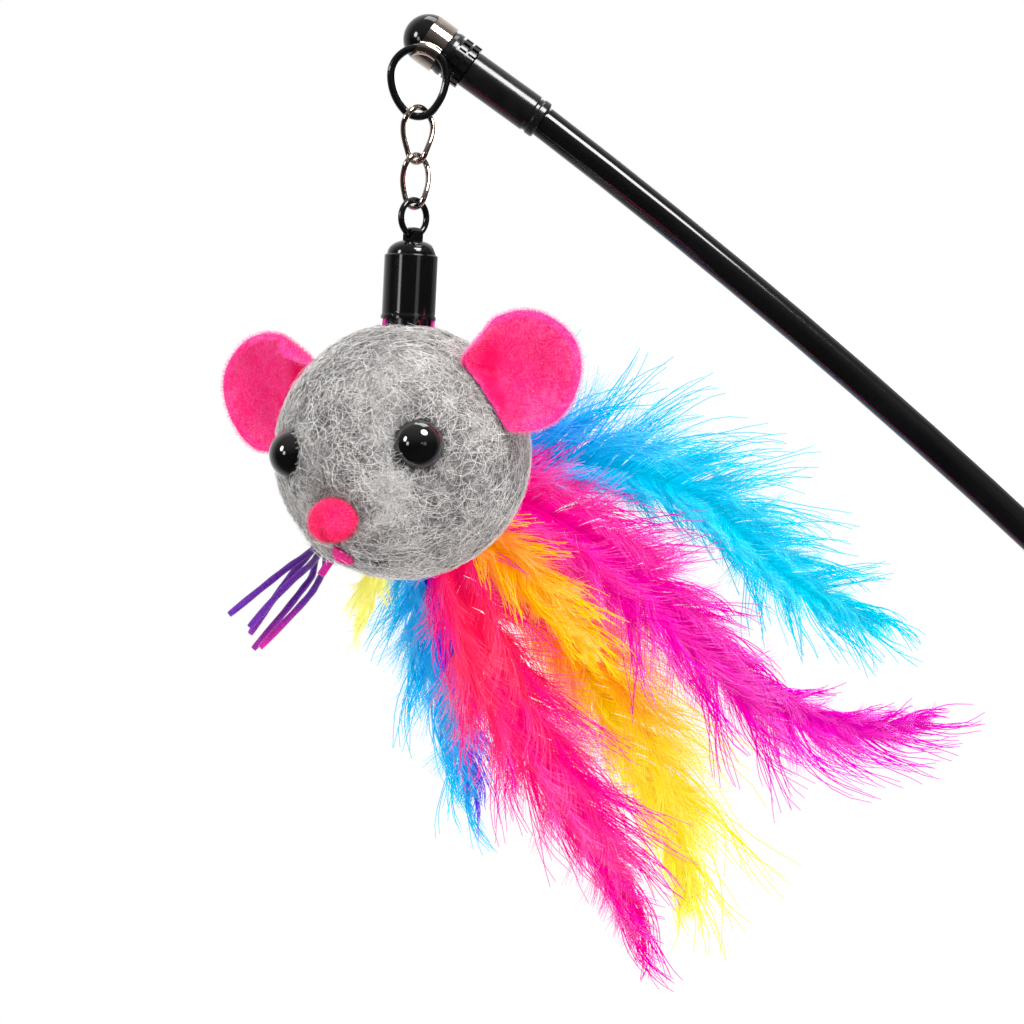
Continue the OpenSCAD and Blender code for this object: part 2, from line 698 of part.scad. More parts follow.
// A bead eye: a ball with a shank that is pushed into the felt
module eye_form(gap) {
    translate([0, 0, head_r + eye_stand - eye_d / 2]) {
        sphere(d = eye_d + 2 * gap, $fn = 96);
        translate([0, 0, -eye_d / 2 - shank_len - gap])
            cylinder(d = shank_d + 2 * gap, h = shank_len + eye_d / 2);
    }
}
module eye_left() {
    color("#050506") on_face(-eye_spread, eye_rise) eye_form(0);
}
module eye_right() {
    color("#050506") on_face(eye_spread, eye_rise) eye_form(0);
}

module nose_form(gap) {
    on_face(nose_turn, -nose_fall)
        translate([0, 0, head_out(0) + nose_h / 4]) rotate_extrude($fn = 96) polygon([
        for (a = [0:7.5:180]) [(nose_d / 2 + gap) * sin(a), (nose_h / 2 + gap) * cos(a)]]);
}
module nose() {
    color("#f0355f") nose_form(0);
}

// The mouth: a thread that lies on the felt along a circle round the nose
module mouth_stitch() {
    out = head_out(mouth_angle) + thread_d / 2 + fit_gap;
    color("#1c1c1e") on_face(nose_turn, -nose_fall) translate([0, 0, out * cos(mouth_angle)])
        rotate([0, 0, mouth_from]) rotate_extrude(angle = mouth_turn, $fn = 96)
        translate([out * sin(mouth_angle), 0]) circle(d = thread_d, $fn = 24);
}

// The tongue: a flat drop of felt just below the mouth
module tongue() {
    low = mouth_angle + (tongue_w / 2 + thread_d) / head_r * 180 / PI;
    color("#e0219a") on_face(nose_turn, -nose_fall) rotate([0, 0, tongue_turn]) rotate([low, 0, 0])
        translate([0, 0, head_out(mouth_angle) + fit_gap]) linear_extrude(tongue_t) union() {
            circle(d = tongue_w);
            rotate(45) square(tongue_w / 2);
        }
}

// An ear: a round pad with a thick rim and a hollow front, cut where it sits on the head
module ear(az, facing) {
    rim = ear_t / 2;
    flat = ear_d / 2 - rim;
    steps = [0:15:180];
    color("#f02f80") difference() {
        at_head() rotate([0, -head_roll, 0]) {
            aim(face_turn + az, ear_rise) translate([0, 0, head_r + ear_stand])
                rotate([-(90 - ear_rise), 0, 0]) rotate([0, 0, facing - az]) rotate([90, 0, 0])
                rotate_extrude($fn = 96) polygon([
                    for (a = [0:10:90]) [flat * sin(a), rim - ear_hollow * pow(cos(a), cup_power)],
                    for (a = steps) [flat + rim * sin(a), rim * cos(a)],
                    [0, -rim]]);
        }
        at_head() sphere(d = head_d + 2 * soft_gap, $fn = 128);
    }
}
module ear_left() {
    ear(-ear_spread, left_ear_face);
}
module ear_right() {
    ear(ear_spread, right_ear_face);
}

// Tassel: a knot with five cords, and a felt tab under the chin
module tassel_binding() {
    edge = binding_len / 5;
    color("#6a1fb5") at_head() translate(head_r * knot_shares + [binding_len + soft_gap, 0, 0])
        rotate([0, -90, 0]) round_rod(binding_d, binding_len, edge);
}
function curve_at(p, u) =
    let (n = len(p) - 1, k = min(floor(u * n), n - 1), t = u * n - k,
        a = p[max(k - 1, 0)], b = p[k], c = p[k + 1], d = p[min(k + 2, n)])
    b + 0.5 * t * (c - a + t * (2 * a - 5 * b + 4 * c - d + t * (3 * b - 3 * c + d - a)));
module tassel_cord(i) {
    route = [for (k = [0:cord_steps]) head_r * curve_at(cord_shares[i], k / cord_steps)];
    color("#7a22c8") at_head() polyhedron(tube_points(route, cord_d / 2, cord_sides, false),
        tube_faces(cord_steps + 1, cord_sides, false));
}
module tassel_tab() {
    color("#d4149a") at_head() aim(tab_az, tab_el)
        translate([-tab_w / 2, -tab_t / 2, head_r + soft_gap]) cube([tab_w, tab_t, tab_len]);
}

// Feathers: a quill in the head and a vane whose edge is notched between the clumps of barbs
function feather_turn(i, t) =
    let (turns = shaft_turns[i], at = t * (len(turns) - 1), k = min(floor(at), len(turns) - 2))
    turns[k] + (turns[k + 1] - turns[k]) * (at - k);
function feather_step(i, t, length) =
    let (a = feather_turn(i, t)) length * [cos(a), layer_leans[i], -sin(a)];
function sum_to(list, n) = n < 0 ? [0, 0, 0] : sum_to(list, n - 1) + list[n];
function feather_root(i) =
    let (back = head_r * layer_shares[i], out = sqrt(head_r * head_r - back * back))
    [out * cos(root_places[i]), back, -out * sin(root_places[i])];
// The shaft as points, from the root to the tip
function feather_shaft(i, length) =
    let (n = vane_stations, steps = [for (k = [0:n - 1]) feather_step(i, (k + 0.5) / n, length / n)],
        out = 2 * soft_gap * [cos(shaft_turns[i][0]), 0, -sin(shaft_turns[i][0])])
    [for (k = [0:n]) feather_root(i) + out + sum_to(steps, k - 1)];
// Half width along the vane: it swells quickly and tapers to the tip, notched at every other station
function vane_half(k, w) =
    let (t = k / vane_stations, full = w / 2 * pow(abs(sin(180 * pow(t, vane_peak))), vane_power))
    max(full * (k % 2 == 0 ? 1 : 1 - notch_share), vane_t / 3);
function vane_points(i, length, w) =
    let (shaft = feather_shaft(i, length), n = vane_stations)
    [for (k = [0:n])
        let (a = feather_turn(i, k / n), side = vane_half(k, w) * [sin(a), 0, cos(a)],
            ridge = [0, vane_t / 2 * (1 - ridge_taper * k / n), 0], edge = ridge * edge_share)
        each [shaft[k] + side + edge, shaft[k] + ridge, shaft[k] - side + edge,
            shaft[k] - side - edge, shaft[k] - ridge, shaft[k] + side - edge]];
module feather(i, length, w) {
    at_head() {
        polyhedron(vane_points(i, length, w), tube_faces(vane_stations + 1, 6, false));
        on_quill(i) cylinder(d1 = quill_d / 2, d2 = vane_t * quill_taper, h = quill_in + 3 * soft_gap);
    }
}
module on_quill(i) {
    translate(feather_root(i)) rotate([0, 90 + shaft_turns[i][0], 0]) translate([0, 0, -quill_in])
        children();
}
module quill_bore(i) {
    at_head() on_quill(i) translate([0, 0, -soft_gap])
        cylinder(d = quill_d + soft_gap, h = quill_in + over + soft_gap);
}
module feather_cyan() {
    color("#10b4ee") feather(0, cyan_len, cyan_w);
}
module feather_magenta() {
    color("#e81cae") feather(1, magenta_len, magenta_w);
}
module feather_orange() {
    color("#ffb62a") feather(2, orange_len, orange_w);
}
module feather_pink() {
    color("#ff1f96") feather(3, pink_len, pink_w);
}
module feather_blue() {
    color("#2a3fe0") feather(4, blue_len, blue_w);
}
module feather_amber() {
    color("#ffc21c") feather(5, amber_len, amber_w);
}
module feather_pale() {
    color("#fff07a") feather(6, pale_len, pale_w);
}

wand_rod();
tip_ferrule();
ferrule_ring();
notched_collar();
neck_bush();
tip_spindle();
ball_cap();
handle_collar();
handle_core();
grip_sleeve();
butt_cap();
swivel_band();
lure_ring();
link_upper();
link_lower();
small_ring();
bell_cap();
head_stem();
cap_gasket();
ribbon_tabs();
head();
ear_left();
ear_right();
eye_left();
eye_right();
nose();
tongue();
mouth_stitch();
tassel_binding();
tassel_tab();
tassel_cord(0);  // tassel_cord_1
tassel_cord(1);  // tassel_cord_2
tassel_cord(2);  // tassel_cord_3
tassel_cord(3);  // tassel_cord_4
tassel_cord(4);  // tassel_cord_5
feather_cyan();
feather_magenta();
feather_orange();
feather_pink();
feather_blue();
feather_amber();
feather_pale();
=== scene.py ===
"""Cat teaser wand: the looks of a felt mouse with feathers on a swivel-tipped wand.

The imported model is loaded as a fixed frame. Hard parts keep their solids and get a finish, and the
wool, plush, thread, cords and feathers are made here, in the same places and sizes.
"""
import math

import bmesh
import bpy
import numpy as np
from bpy.props import FloatProperty, FloatVectorProperty, IntProperty, PointerProperty
from mathutils import Matrix, Vector, noise


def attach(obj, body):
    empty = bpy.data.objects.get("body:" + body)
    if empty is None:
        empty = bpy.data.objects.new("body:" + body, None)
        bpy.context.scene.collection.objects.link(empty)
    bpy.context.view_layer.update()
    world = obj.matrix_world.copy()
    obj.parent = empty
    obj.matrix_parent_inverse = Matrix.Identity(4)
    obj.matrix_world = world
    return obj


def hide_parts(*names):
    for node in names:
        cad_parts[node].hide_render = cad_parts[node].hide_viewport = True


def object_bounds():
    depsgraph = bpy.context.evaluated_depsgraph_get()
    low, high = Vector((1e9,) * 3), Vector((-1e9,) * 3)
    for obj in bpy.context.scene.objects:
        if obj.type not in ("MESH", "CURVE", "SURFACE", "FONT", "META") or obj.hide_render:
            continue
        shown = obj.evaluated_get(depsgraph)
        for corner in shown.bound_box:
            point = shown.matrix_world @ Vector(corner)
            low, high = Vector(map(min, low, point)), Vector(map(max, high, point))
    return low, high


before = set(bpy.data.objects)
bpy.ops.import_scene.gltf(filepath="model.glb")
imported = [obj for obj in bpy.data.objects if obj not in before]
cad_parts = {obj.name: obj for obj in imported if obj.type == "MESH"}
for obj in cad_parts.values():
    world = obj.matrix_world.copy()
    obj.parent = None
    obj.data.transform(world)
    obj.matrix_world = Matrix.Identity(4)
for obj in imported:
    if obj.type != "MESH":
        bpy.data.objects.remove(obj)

bl_info = {
    "name": "Cat teaser wand",
    "version": (1, 0, 0),
    "blender": (4, 5, 0),
    "location": "3D View > Sidebar > Wand",
    "description": "Dresses the packed cat teaser wand in lacquer, chrome, felt, plush and feathers",
    "category": "Object",
}

CAD_BOX = [list(corner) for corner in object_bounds()]
MM = 0.001
WHITE = (1.0, 1.0, 1.0, 1.0)

# The head's centre and the turns of the face, as the solids have them
HEAD_C = Vector((-227.687, -5.35, 128.376)) * MM
HEAD_R = 23.8 * MM
FACE_TURN = -27.5
HEAD_ROLL = 4
NOSE_PLACE = (-6, -26.5)
NOSE_SIZE = Vector((4.6, 3.95, 4.5)) * MM
NOSE_OUT = 1.6 * MM
EYE_SPREAD = 36.2
EYE_RISE = 2.2
SNOUT_OUT = 1.6 * MM
SNOUT_SPREAD = 30
# Places on the face, in degrees below the nose and to the right of it
TONGUE_PLACE = (22, -10)
TUFT_PLACE = (-8, 25)
# The lip's line, from and to so many degrees to the right of the nose
MOUTH_FROM, MOUTH_TO = -6, 11
TONGUE_SIZE = Vector((2.2, 2.8, 0.85)) * MM
MOUTH_WIRE_R = 0.26 * MM

# The ears: their size, how far out they stand, how high they sit, and their places and facings
EAR_D = 23.0 * MM
EAR_T = 3.7 * MM
EAR_STAND = 6.0 * MM
EAR_RISE = 27
EAR_HOLLOW = 3.8 * MM
EAR_CLEAR = 0.85 * MM
EAR_BEND_R = 2.3 * MM
EARS = {"left": (-88, -5), "right": (88, 30)}
# Folds in an ear: angle from where it is sewn on, depth in millimetres, width
EAR_FOLDS = ((-0.30, 0.9, 0.14), (0.22, 1.1, 0.13), (0.62, 0.7, 0.12), (-0.85, 0.5, 0.15))

# The chain hangs from here, leaning by so many degrees
CHAIN_TOP = Vector((-224.698, -5.35, 191.756)) * MM
CHAIN_LEAN = 2.7
LINK_TURN = 45
LINK_WIRE = 1.14 * MM
# Each link: the depth of its top, the radii of its top and its low end, and its height
LINKS = {"upper": (-1.775 * MM, 3.0 * MM, 2.2 * MM, 10.4 * MM),
         "lower": (7.275 * MM, 2.5 * MM, 2.3 * MM, 9.9 * MM)}

# The foam grip round its core, and the ribbon's ends in the cap
GRIP_D = 13 * MM
GRIP_EDGE = 0.8 * MM
CORE_D = 8.8 * MM
CAP_BOTTOM = 38.45 * MM
CAP_BORE_R = 4.75 * MM
RIBBON_FALL = 1.7 * MM
RIBBON_T = 0.44 * MM
RIBBON_HALF_ANGLE = 0.46

# The tassel's cords and the start of its knot, in shares of the head's radius from its centre
CORD_D = 1.3 * MM
CORD_SHARES = [
    [[-0.574, 0.68, -0.656], [-0.627, 0.68, -0.656], [-0.697, 0.533, -0.738], [-0.779, 0.328, -0.82],
        [-0.922, 0.164, -0.922], [-1.127, 0.041, -1.086], [-1.377, -0.041, -1.291]],
    [[-0.574, 0.648, -0.734], [-0.627, 0.648, -0.734], [-0.689, 0.492, -0.82], [-0.738, 0.287, -0.893],
        [-0.84, 0.102, -0.984], [-1.004, -0.02, -1.148], [-1.214, -0.096, -1.389]],
    [[-0.574, 0.766, -0.664], [-0.627, 0.766, -0.664], [-0.717, 0.635, -0.758], [-0.799, 0.451, -0.861],
        [-0.902, 0.307, -0.984], [-1.045, 0.184, -1.189], [-1.217, 0.077, -1.446]],
    [[-0.574, 0.783, -0.746], [-0.627, 0.783, -0.746], [-0.713, 0.697, -0.844], [-0.738, 0.512, -0.984],
        [-0.82, 0.369, -1.107], [-0.963, 0.246, -1.291], [-1.194, 0.152, -1.569]],
    [[-0.574, 0.709, -0.787], [-0.627, 0.709, -0.795], [-0.639, 0.533, -0.926], [-0.676, 0.369, -1.016],
        [-0.738, 0.225, -1.127], [-0.881, 0.102, -1.291], [-1.133, -0.007, -1.553]]]
KNOT_SHARES = Vector((-0.574, 0.725, -0.73))
KNOT_LENGTH = 4.0 * MM
KNOT_R = 2.8 * MM
KNOT_CORE_R = 2.05 * MM
KNOT_WIRE_R = 0.52 * MM
KNOT_TURNS = 4.0

CAMERA_PLACE = (-0.20705, -1.0, 0.11701)
CAMERA_LENS = 185.0
FLOOR_R = 0.75
FLOOR_ASIDE = 0.15
FLOOR_GAP = 0.002
# Each lamp: the way to it from the head, its distance, its width and height, and its power
LAMPS = {
    "key": ((0.40, -0.48, 0.79), 1.0, (0.46, 0.46), 8.0),
    "left": ((-0.82, -0.45, 0.36), 1.0, (0.26, 0.34), 2.6),
    "right": ((0.90, -0.42, 0.10), 1.1, (0.14, 0.70), 2.0),
    "front": ((-0.10, -0.98, 0.10), 2.2, (1.2, 1.2), 3.5),
    "top": ((0.15, 0.25, 0.95), 1.0, (0.60, 0.40), 2.2),
    "rim": ((0.45, 0.80, 0.10), 1.0, (0.5, 0.6), 2.4),
    "strip": ((-0.72, -0.69, 0.07), 1.1, (0.20, 0.26), 0.62),
    "strip_low": ((0.50, -0.87, 0.06), 1.1, (0.26, 0.26), 0.15),
}


def srgb(red, green, blue):
    """A colour given as it looks on screen, as linear red, green, blue and alpha."""
    levels = (red, green, blue)
    return (*(c / 12.92 if c <= 0.04045 else ((c + 0.055) / 1.055) ** 2.4 for c in levels), 1.0)


def fewer():
    """Share of the fibres that are made: all of them."""
    return 1.0


def turn(axis, degrees):
    return Matrix.Rotation(math.radians(degrees), 4, axis)


def on_face(az, el):
    """Turns +Z to a place on the face, counted from the middle of the face."""
    return Matrix.Translation(HEAD_C) @ turn("Y", -HEAD_ROLL) @ turn("Z", FACE_TURN + az) @ turn("X", 90 - el)


class Value:
    """A node's output that can be reckoned with: each + - * / ** adds the node that does it."""

    def __init__(self, graph, socket):
        self.graph, self.socket = graph, socket
        self.vector = socket.type == "VECTOR"

    def reckon(self, operation, *values):
        return (self.graph.vec if self.vector else self.graph.math)(operation, *values)

    def __add__(self, other):
        return self.reckon("ADD", self, other)

    def __radd__(self, other):
        return self.reckon("ADD", other, self)

    def __sub__(self, other):
        return self.reckon("SUBTRACT", self, other)

    def __rsub__(self, other):
        return self.reckon("SUBTRACT", other, self)

    def __mul__(self, other):
        if self.vector:
            return self.graph.get("ShaderNodeVectorMath", {0: self, 3: other}, operation="SCALE")
        return self.graph.math("MULTIPLY", self, other)

    __rmul__ = __mul__

    def __truediv__(self, other):
        return self.graph.math("DIVIDE", self, other)

    def __pow__(self, power):
        return self.graph.math("POWER", self, power)


class Graph:
    """A node tree, with one short call for each node."""

    def __init__(self, tree):
        self.tree = tree
        self.place = None

    def put(self, socket, value):
        if isinstance(value, Value):
            self.tree.links.new(value.socket, socket)
        elif value is not None:
            socket.default_value = value

    def node(self, kind, values=(), **settings):
        made = self.tree.nodes.new(kind)
        for key, value in settings.items():
            setattr(made, key, value)
        for key, value in values.items() if isinstance(values, dict) else enumerate(values):
            named = (s for s in made.inputs if s.name == key and s.enabled)
            self.put(next(named) if isinstance(key, str) else made.inputs[key], value)
        return made

    def get(self, kind, values=(), output=None, **settings):
        """The named output of a new node, or its first."""
        sockets = [s for s in self.node(kind, values, **settings).outputs if s.enabled]
        return Value(self, next(s for s in sockets if output in (None, s.name)))

    def math(self, operation, *values):
        return self.get("ShaderNodeMath", values, operation=operation)

    def vec(self, operation, *values):
        return self.get("ShaderNodeVectorMath", values, operation=operation)

    def mix(self, factor, first, second, blend="MIX"):
        values = {"Factor": factor, "A": first, "B": second}
        return self.get("ShaderNodeMix", values, data_type="RGBA", blend_type=blend)

    def ramp(self, factor, *stops):
        """A colour ramp through (place, colour) stops."""
        made = self.node("ShaderNodeValToRGB", [factor])
        elements = made.color_ramp.elements
        while len(elements) < len(stops):
            elements.new(0.5)
        for element, (place, colour) in zip(elements, stops):
            element.position = place
            element.color = colour
        return Value(self, made.outputs["Color"])

    def coords(self):
        """Places on the object, from one node that all its textures share."""
        self.place = self.place or self.get("ShaderNodeTexCoord", output="Object")
        return self.place

    def noise(self, size, detail=3.0, rough=0.5, distort=0.0):
        values = {"Scale": 1 / size, "Detail": detail, "Roughness": rough, "Distortion": distort}
        return self.get("ShaderNodeTexNoise", {"Vector": self.coords(), **values})

    def attribute(self, name):
        return self.get("ShaderNodeAttribute", output="Fac", attribute_name=name)

    def bump(self, height, distance, strength=1.0):
        return self.get("ShaderNodeBump", {"Height": height, "Distance": distance, "Strength": strength})

    def dress(self, **sockets):
        """Sets the shader's sockets, written as Base_Color=..., Roughness=..."""
        shader = self.tree.nodes["Principled BSDF"]
        for key, value in sockets.items():
            self.put(shader.inputs[key.replace("_", " ")], value)


def new_finish(name, **sockets):
    """A new material with these values in its shader, and its graph."""
    material = bpy.data.materials.new(name)
    material.use_nodes = True
    graph = Graph(material.node_tree)
    graph.dress(**sockets)
    return material, graph


def note(mesh, **values):
    """Keeps one number for each point of the mesh, under these names."""
    for name, numbers in values.items():
        mesh.attributes.new(name, "FLOAT", "POINT").data.foreach_set("value", np.array(numbers, np.float32))


def plain_mesh(name, verts, faces, **values):
    """A smooth mesh of these points and faces, with these numbers for its points."""
    mesh = bpy.data.meshes.new(name)
    mesh.from_pydata([tuple(v) for v in verts], [], faces)
    note(mesh, **values)
    mesh.validate()
    mesh.shade_smooth()
    return mesh


def mesh_from(made, name, **values):
    """The edited mesh as a smooth mesh, with these numbers for its points."""
    mesh = bpy.data.meshes.new(name)
    made.to_mesh(mesh)
    made.free()
    note(mesh, **values)
    mesh.shade_smooth()
    return mesh


def outward(mesh):
    """The closed mesh with its doubles merged and its normals turned outward."""
    made = bmesh.new()
    made.from_mesh(mesh)
    bmesh.ops.remove_doubles(made, verts=made.verts, dist=0.000001)
    bmesh.ops.recalc_face_normals(made, faces=made.faces)
    made.to_mesh(mesh)
    made.free()
    return mesh


def piece_of(name, mesh, material, body):
    """An object in the row frame that rides on a body."""
    piece = bpy.data.objects.new(name, mesh)
    bpy.context.scene.collection.objects.link(piece)
    if material is not None:
        mesh.materials.clear()
        mesh.materials.append(material)
    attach(piece, body)
    return piece


def smooth_path(points, steps):
    """A smooth curve through all the points, as the solids' cords have it."""
    found = []
    last = len(points) - 1
    for k in range(steps + 1):
        at = k / steps * last
        i = min(int(at), last - 1)
        t = at - i
        a, b, c, d = (Vector(points[max(0, min(last, j))]) for j in (i - 1, i, i + 1, i + 2))
        found.append(b + 0.5 * t * (c - a + t * (2 * a - 5 * b + 4 * c - d + t * (3 * b - 3 * c + d - a))))
    return found


def new_tree(name, inputs):
    """A geometry node tree with a geometry input, these inputs with their values, and a geometry output."""
    tree = bpy.data.node_groups.new(name, "GeometryNodeTree")
    tree.interface.new_socket("Geometry", in_out="INPUT", socket_type="NodeSocketGeometry")
    kinds = {int: "Int", float: "Float", tuple: "Vector"}
    for label, value in inputs.items():
        kind = "NodeSocket" + kinds.get(type(value), "Material")
        socket = tree.interface.new_socket(label, in_out="INPUT", socket_type=kind)
        if value is not None:
            socket.default_value = value
    tree.interface.new_socket("Geometry", in_out="OUTPUT", socket_type="NodeSocketGeometry")
    graph = Graph(tree)
    given = {s.name: Value(graph, s) for s in graph.node("NodeGroupInput").outputs if s.name}
    return tree, graph, given, graph.node("NodeGroupOutput").inputs[0]


def store(graph, geometry, **fields):
    """The geometry with each of these fields kept at its points."""
    for name, value in fields.items():
        kind = "FLOAT_VECTOR" if value.vector else "FLOAT"
        values = {"Geometry": geometry, "Name": name, "Value": value}
        geometry = graph.get("GeometryNodeStoreNamedAttribute", values, data_type=kind, domain="POINT")
    return geometry


def recall(graph, *names, kind="FLOAT"):
    """The kept fields with these names."""
    node = "GeometryNodeInputNamedAttribute"
    return [graph.get(node, {"Name": name}, "Attribute", data_type=kind) for name in names]


def chance(graph, seed, low=0.0, high=1.0, by=None, kind="FLOAT"):
    """A random value for each point, or for each value of by."""
    values = {"Min": low, "Max": high, "Seed": seed, "ID": by}
    return graph.get("FunctionNodeRandomValue", values, data_type=kind)


def strands(graph, points, steps):
    """One straight strand of so many points on each point, as real geometry, and the share along it."""
    line = graph.get("GeometryNodeCurvePrimitiveLine", {"End": (1, 0, 0)})
    line = graph.get("GeometryNodeResampleCurve", {"Curve": line, "Count": steps})
    placed = graph.get("GeometryNodeInstanceOnPoints", {"Points": points, "Instance": line})
    u = graph.get("GeometryNodeSplineParameter", output="Factor")
    return store(graph, graph.get("GeometryNodeRealizeInstances", [placed]), out=u), u


def finish_strands(graph, curves, place, radius, sides, material, target):
    """Moves the strands to their place, makes them round with closed ends, and gives them their material."""
    curves = graph.get("GeometryNodeSetPosition", {"Geometry": curves, "Position": place})
    curves = graph.get("GeometryNodeSetCurveRadius", {"Curve": curves, "Radius": radius})
    ring = graph.get("GeometryNodeCurvePrimitiveCircle", {"Resolution": sides, "Radius": 1.0})
    scale = graph.get("GeometryNodeInputRadius")
    values = {"Curve": curves, "Profile Curve": ring, "Fill Caps": True, "Scale": scale}
    solid = graph.get("GeometryNodeRealizeInstances", [graph.get("GeometryNodeCurveToMesh", values)])
    smooth = graph.get("GeometryNodeSetShadeSmooth", {"Geometry": solid})
    graph.put(target, graph.get("GeometryNodeSetMaterial", {"Geometry": smooth, "Material": material}))


def run_tree(tree, name, source_mesh, settings, keep):
    """The tree's result on a mesh, as a plain mesh that keeps only the named attributes."""
    holder = bpy.data.objects.new(name + "_source", source_mesh)
    bpy.context.scene.collection.objects.link(holder)
    modifier = holder.modifiers.new("Tree", "NODES")
    modifier.node_group = tree
    sockets = {s.name: s.identifier for s in tree.interface.items_tree if getattr(s, "in_out", "") == "INPUT"}
    for label, value in settings.items():
        modifier[sockets[label]] = value
    mesh = bpy.data.meshes.new_from_object(holder.evaluated_get(bpy.context.evaluated_depsgraph_get()))
    mesh.name = name
    bpy.data.objects.remove(holder)
    keep = (*keep, "sharp_face", "sharp_edge", "material_index")
    spare = [a.name for a in mesh.attributes if not a.is_internal and not a.is_required and a.name not in keep]
    for label in spare:
        mesh.attributes.remove(mesh.attributes[label])
    return mesh


def plume_tree():
    """Barbs along a feather's shaft: they leave it at a slant on both sides, curve, and clump at their tips."""
    tree, g, given, target = new_tree("Feather barbs", {
        "Count": 400, "Steps": 9, "Reach": 1.0, "Thin": 0.0, "Forward": 0.2, "Spread": 0.2, "Clump": 0.7,
        "Groups": 40.0, "Ruffle": 0.3, "Radius": 0.00008, "Shaft Length": 0.1, "Seed": 1, "Material": None})
    shaft = g.get("GeometryNodeMeshToCurve", {"Mesh": given["Geometry"]})
    points = g.get("GeometryNodeResampleCurve", {"Curve": shaft, "Count": given["Count"]})
    along = g.get("GeometryNodeSplineParameter", output="Factor")
    odd = g.math("MODULO", g.get("GeometryNodeInputIndex"), 2.0)
    group = g.math("FLOOR", along * given["Groups"] + odd * 0.5)
    tuft = group * 2.0 + odd
    middle = (group + (0.5 - odd * 0.5)) / given["Groups"]
    seeds = [given["Seed"] + float(k) for k in range(4)]
    points = store(
        g, points, along=along, side=odd * 2.0 - 1.0, slide=middle - along, own=chance(g, seeds[0]),
        sway=chance(g, seeds[1], -1.0), tuft=chance(g, seeds[2], -1.0, by=tuft),
        tuft_lift=chance(g, seeds[3], -1.0, by=tuft), root=g.get("GeometryNodeInputPosition"),
        ahead=g.get("GeometryNodeInputTangent"))
    curves, u = strands(g, points, given["Steps"])
    ahead, root = recall(g, "ahead", "root", kind="FLOAT_VECTOR")
    own, sway, tuft, lift = recall(g, "own", "sway", "tuft", "tuft_lift")
    side, along, slide = recall(g, "side", "along", "slide")
    reach_left, reach_right, slant_left, slant_right = recall(g, "left", "right", "slant_left", "slant_right")
    across = g.vec("NORMALIZE", g.vec("CROSS_PRODUCT", ahead, (0.0, 1.0, 0.0)))
    up = g.vec("NORMALIZE", g.vec("CROSS_PRODUCT", across, ahead))
    left = g.math("GREATER_THAN", side, 0.0)
    right = 1.0 - left
    near = left * reach_left + right * reach_right
    length = near * (1.06 - own * 0.5) * (given["Reach"] * (1.0 - given["Thin"] * along))
    slant = left * slant_left + right * slant_right
    bend = slant + given["Ruffle"] * (sway * 0.45 + tuft) * u - given["Forward"] * u
    flat = ahead * g.math("COSINE", bend) + across * (side * g.math("SINE", bend))
    curl = 0.035 * g.math("SINE", u * 7.0 + own * 40.0)
    high = given["Spread"] * ((sway * 0.55 + lift * 0.6) * u ** 1.3)
    shape = flat * u + up * high + across * (curl * u)
    pull = slide * given["Shaft Length"] * (given["Clump"] * u ** 1.5)
    place = root + shape * length + ahead * pull
    thin = 0.4 + 0.6 * (1.0 - u) ** 0.8
    finish_strands(g, curves, place, given["Radius"] * thin, 3, given["Material"], target)
    return tree


def fibre_tree():
    """Fibres on a surface: lying on it and curly as in felt, or standing up as in a pile."""
    tree, g, given, target = new_tree("Fibres", {
        "Count Per Area": 100000.0, "Steps": 7, "Length": 0.006, "Stand": 0.0, "Curl": 0.3, "Waves": 6.0,
        "Lift": 0.0004, "Lean": 0.3, "Radius": 0.00005, "Seed": 1, "Centre": (0.0, 0.0, 0.0), "Material": None})
    values = {"Mesh": given["Geometry"], "Density": given["Count Per Area"], "Seed": given["Seed"]}
    spots = g.node("GeometryNodeDistributePointsOnFaces", values, distribute_method="RANDOM").outputs
    seeds = [given["Seed"] + float(k) for k in (1, 2, 3)]
    any_way = chance(g, seeds[0], (-1, -1, -1), (1, 1, 1), kind="FLOAT_VECTOR")
    points, out_way = (Value(g, spots[name]) for name in ("Points", "Normal"))
    points = store(g, points, out_way=out_way, root=g.get("GeometryNodeInputPosition"), way=any_way,
                   shade=chance(g, seeds[1]), phase=chance(g, seeds[2]))
    curves, u = strands(g, points, given["Steps"])
    root, up, way = recall(g, "root", "out_way", "way", kind="FLOAT_VECTOR")
    shade, phase = recall(g, "shade", "phase")
    flat = g.vec("NORMALIZE", g.vec("CROSS_PRODUCT", up, way))
    across = g.vec("CROSS_PRODUCT", up, flat)
    middle = u - 0.5
    wave = middle * given["Waves"] + phase * 30.0
    side = given["Curl"] * g.math("SINE", wave)
    turned = given["Curl"] * g.math("COSINE", wave * 0.7)
    laid = flat * (middle + turned * 0.4) + across * side
    stood = (up + flat * (given["Lean"] * u)) * u
    lying = 1.0 - given["Stand"]
    place = root + (laid * lying + stood * given["Stand"]) * (given["Length"] * (0.5 + shade))
    spoke = g.vec("NORMALIZE", place - given["Centre"])
    height = given["Lift"] * ((phase + g.math("SINE", wave)) * 0.8 - 0.2)
    laid_place = given["Centre"] + spoke * (g.vec("LENGTH", root - given["Centre"]) + height)
    chosen = laid_place * lying + place * given["Stand"]
    taper = 1.0 - 0.7 * (u * given["Stand"])
    finish_strands(g, curves, chosen, given["Radius"] * taper, 3, given["Material"], target)
    return tree


def mottled(name, dark, light, grain, rough, bump=0.0, **sockets):
    """A finish whose colour and gloss vary softly at the size of grain, with a fine bump."""
    material, g = new_finish(name, **sockets)
    g.dress(Base_Color=g.ramp(g.noise(grain, 4.0, 0.6), (0.35, srgb(*dark)), (0.65, srgb(*light))),
            Roughness=g.noise(grain * 0.37, 3.0, 0.7) * (rough * 0.7) + rough * 0.65)
    if bump:
        g.dress(Normal=g.bump(g.noise(grain * 0.25, 5.0, 0.65), bump))
    return material


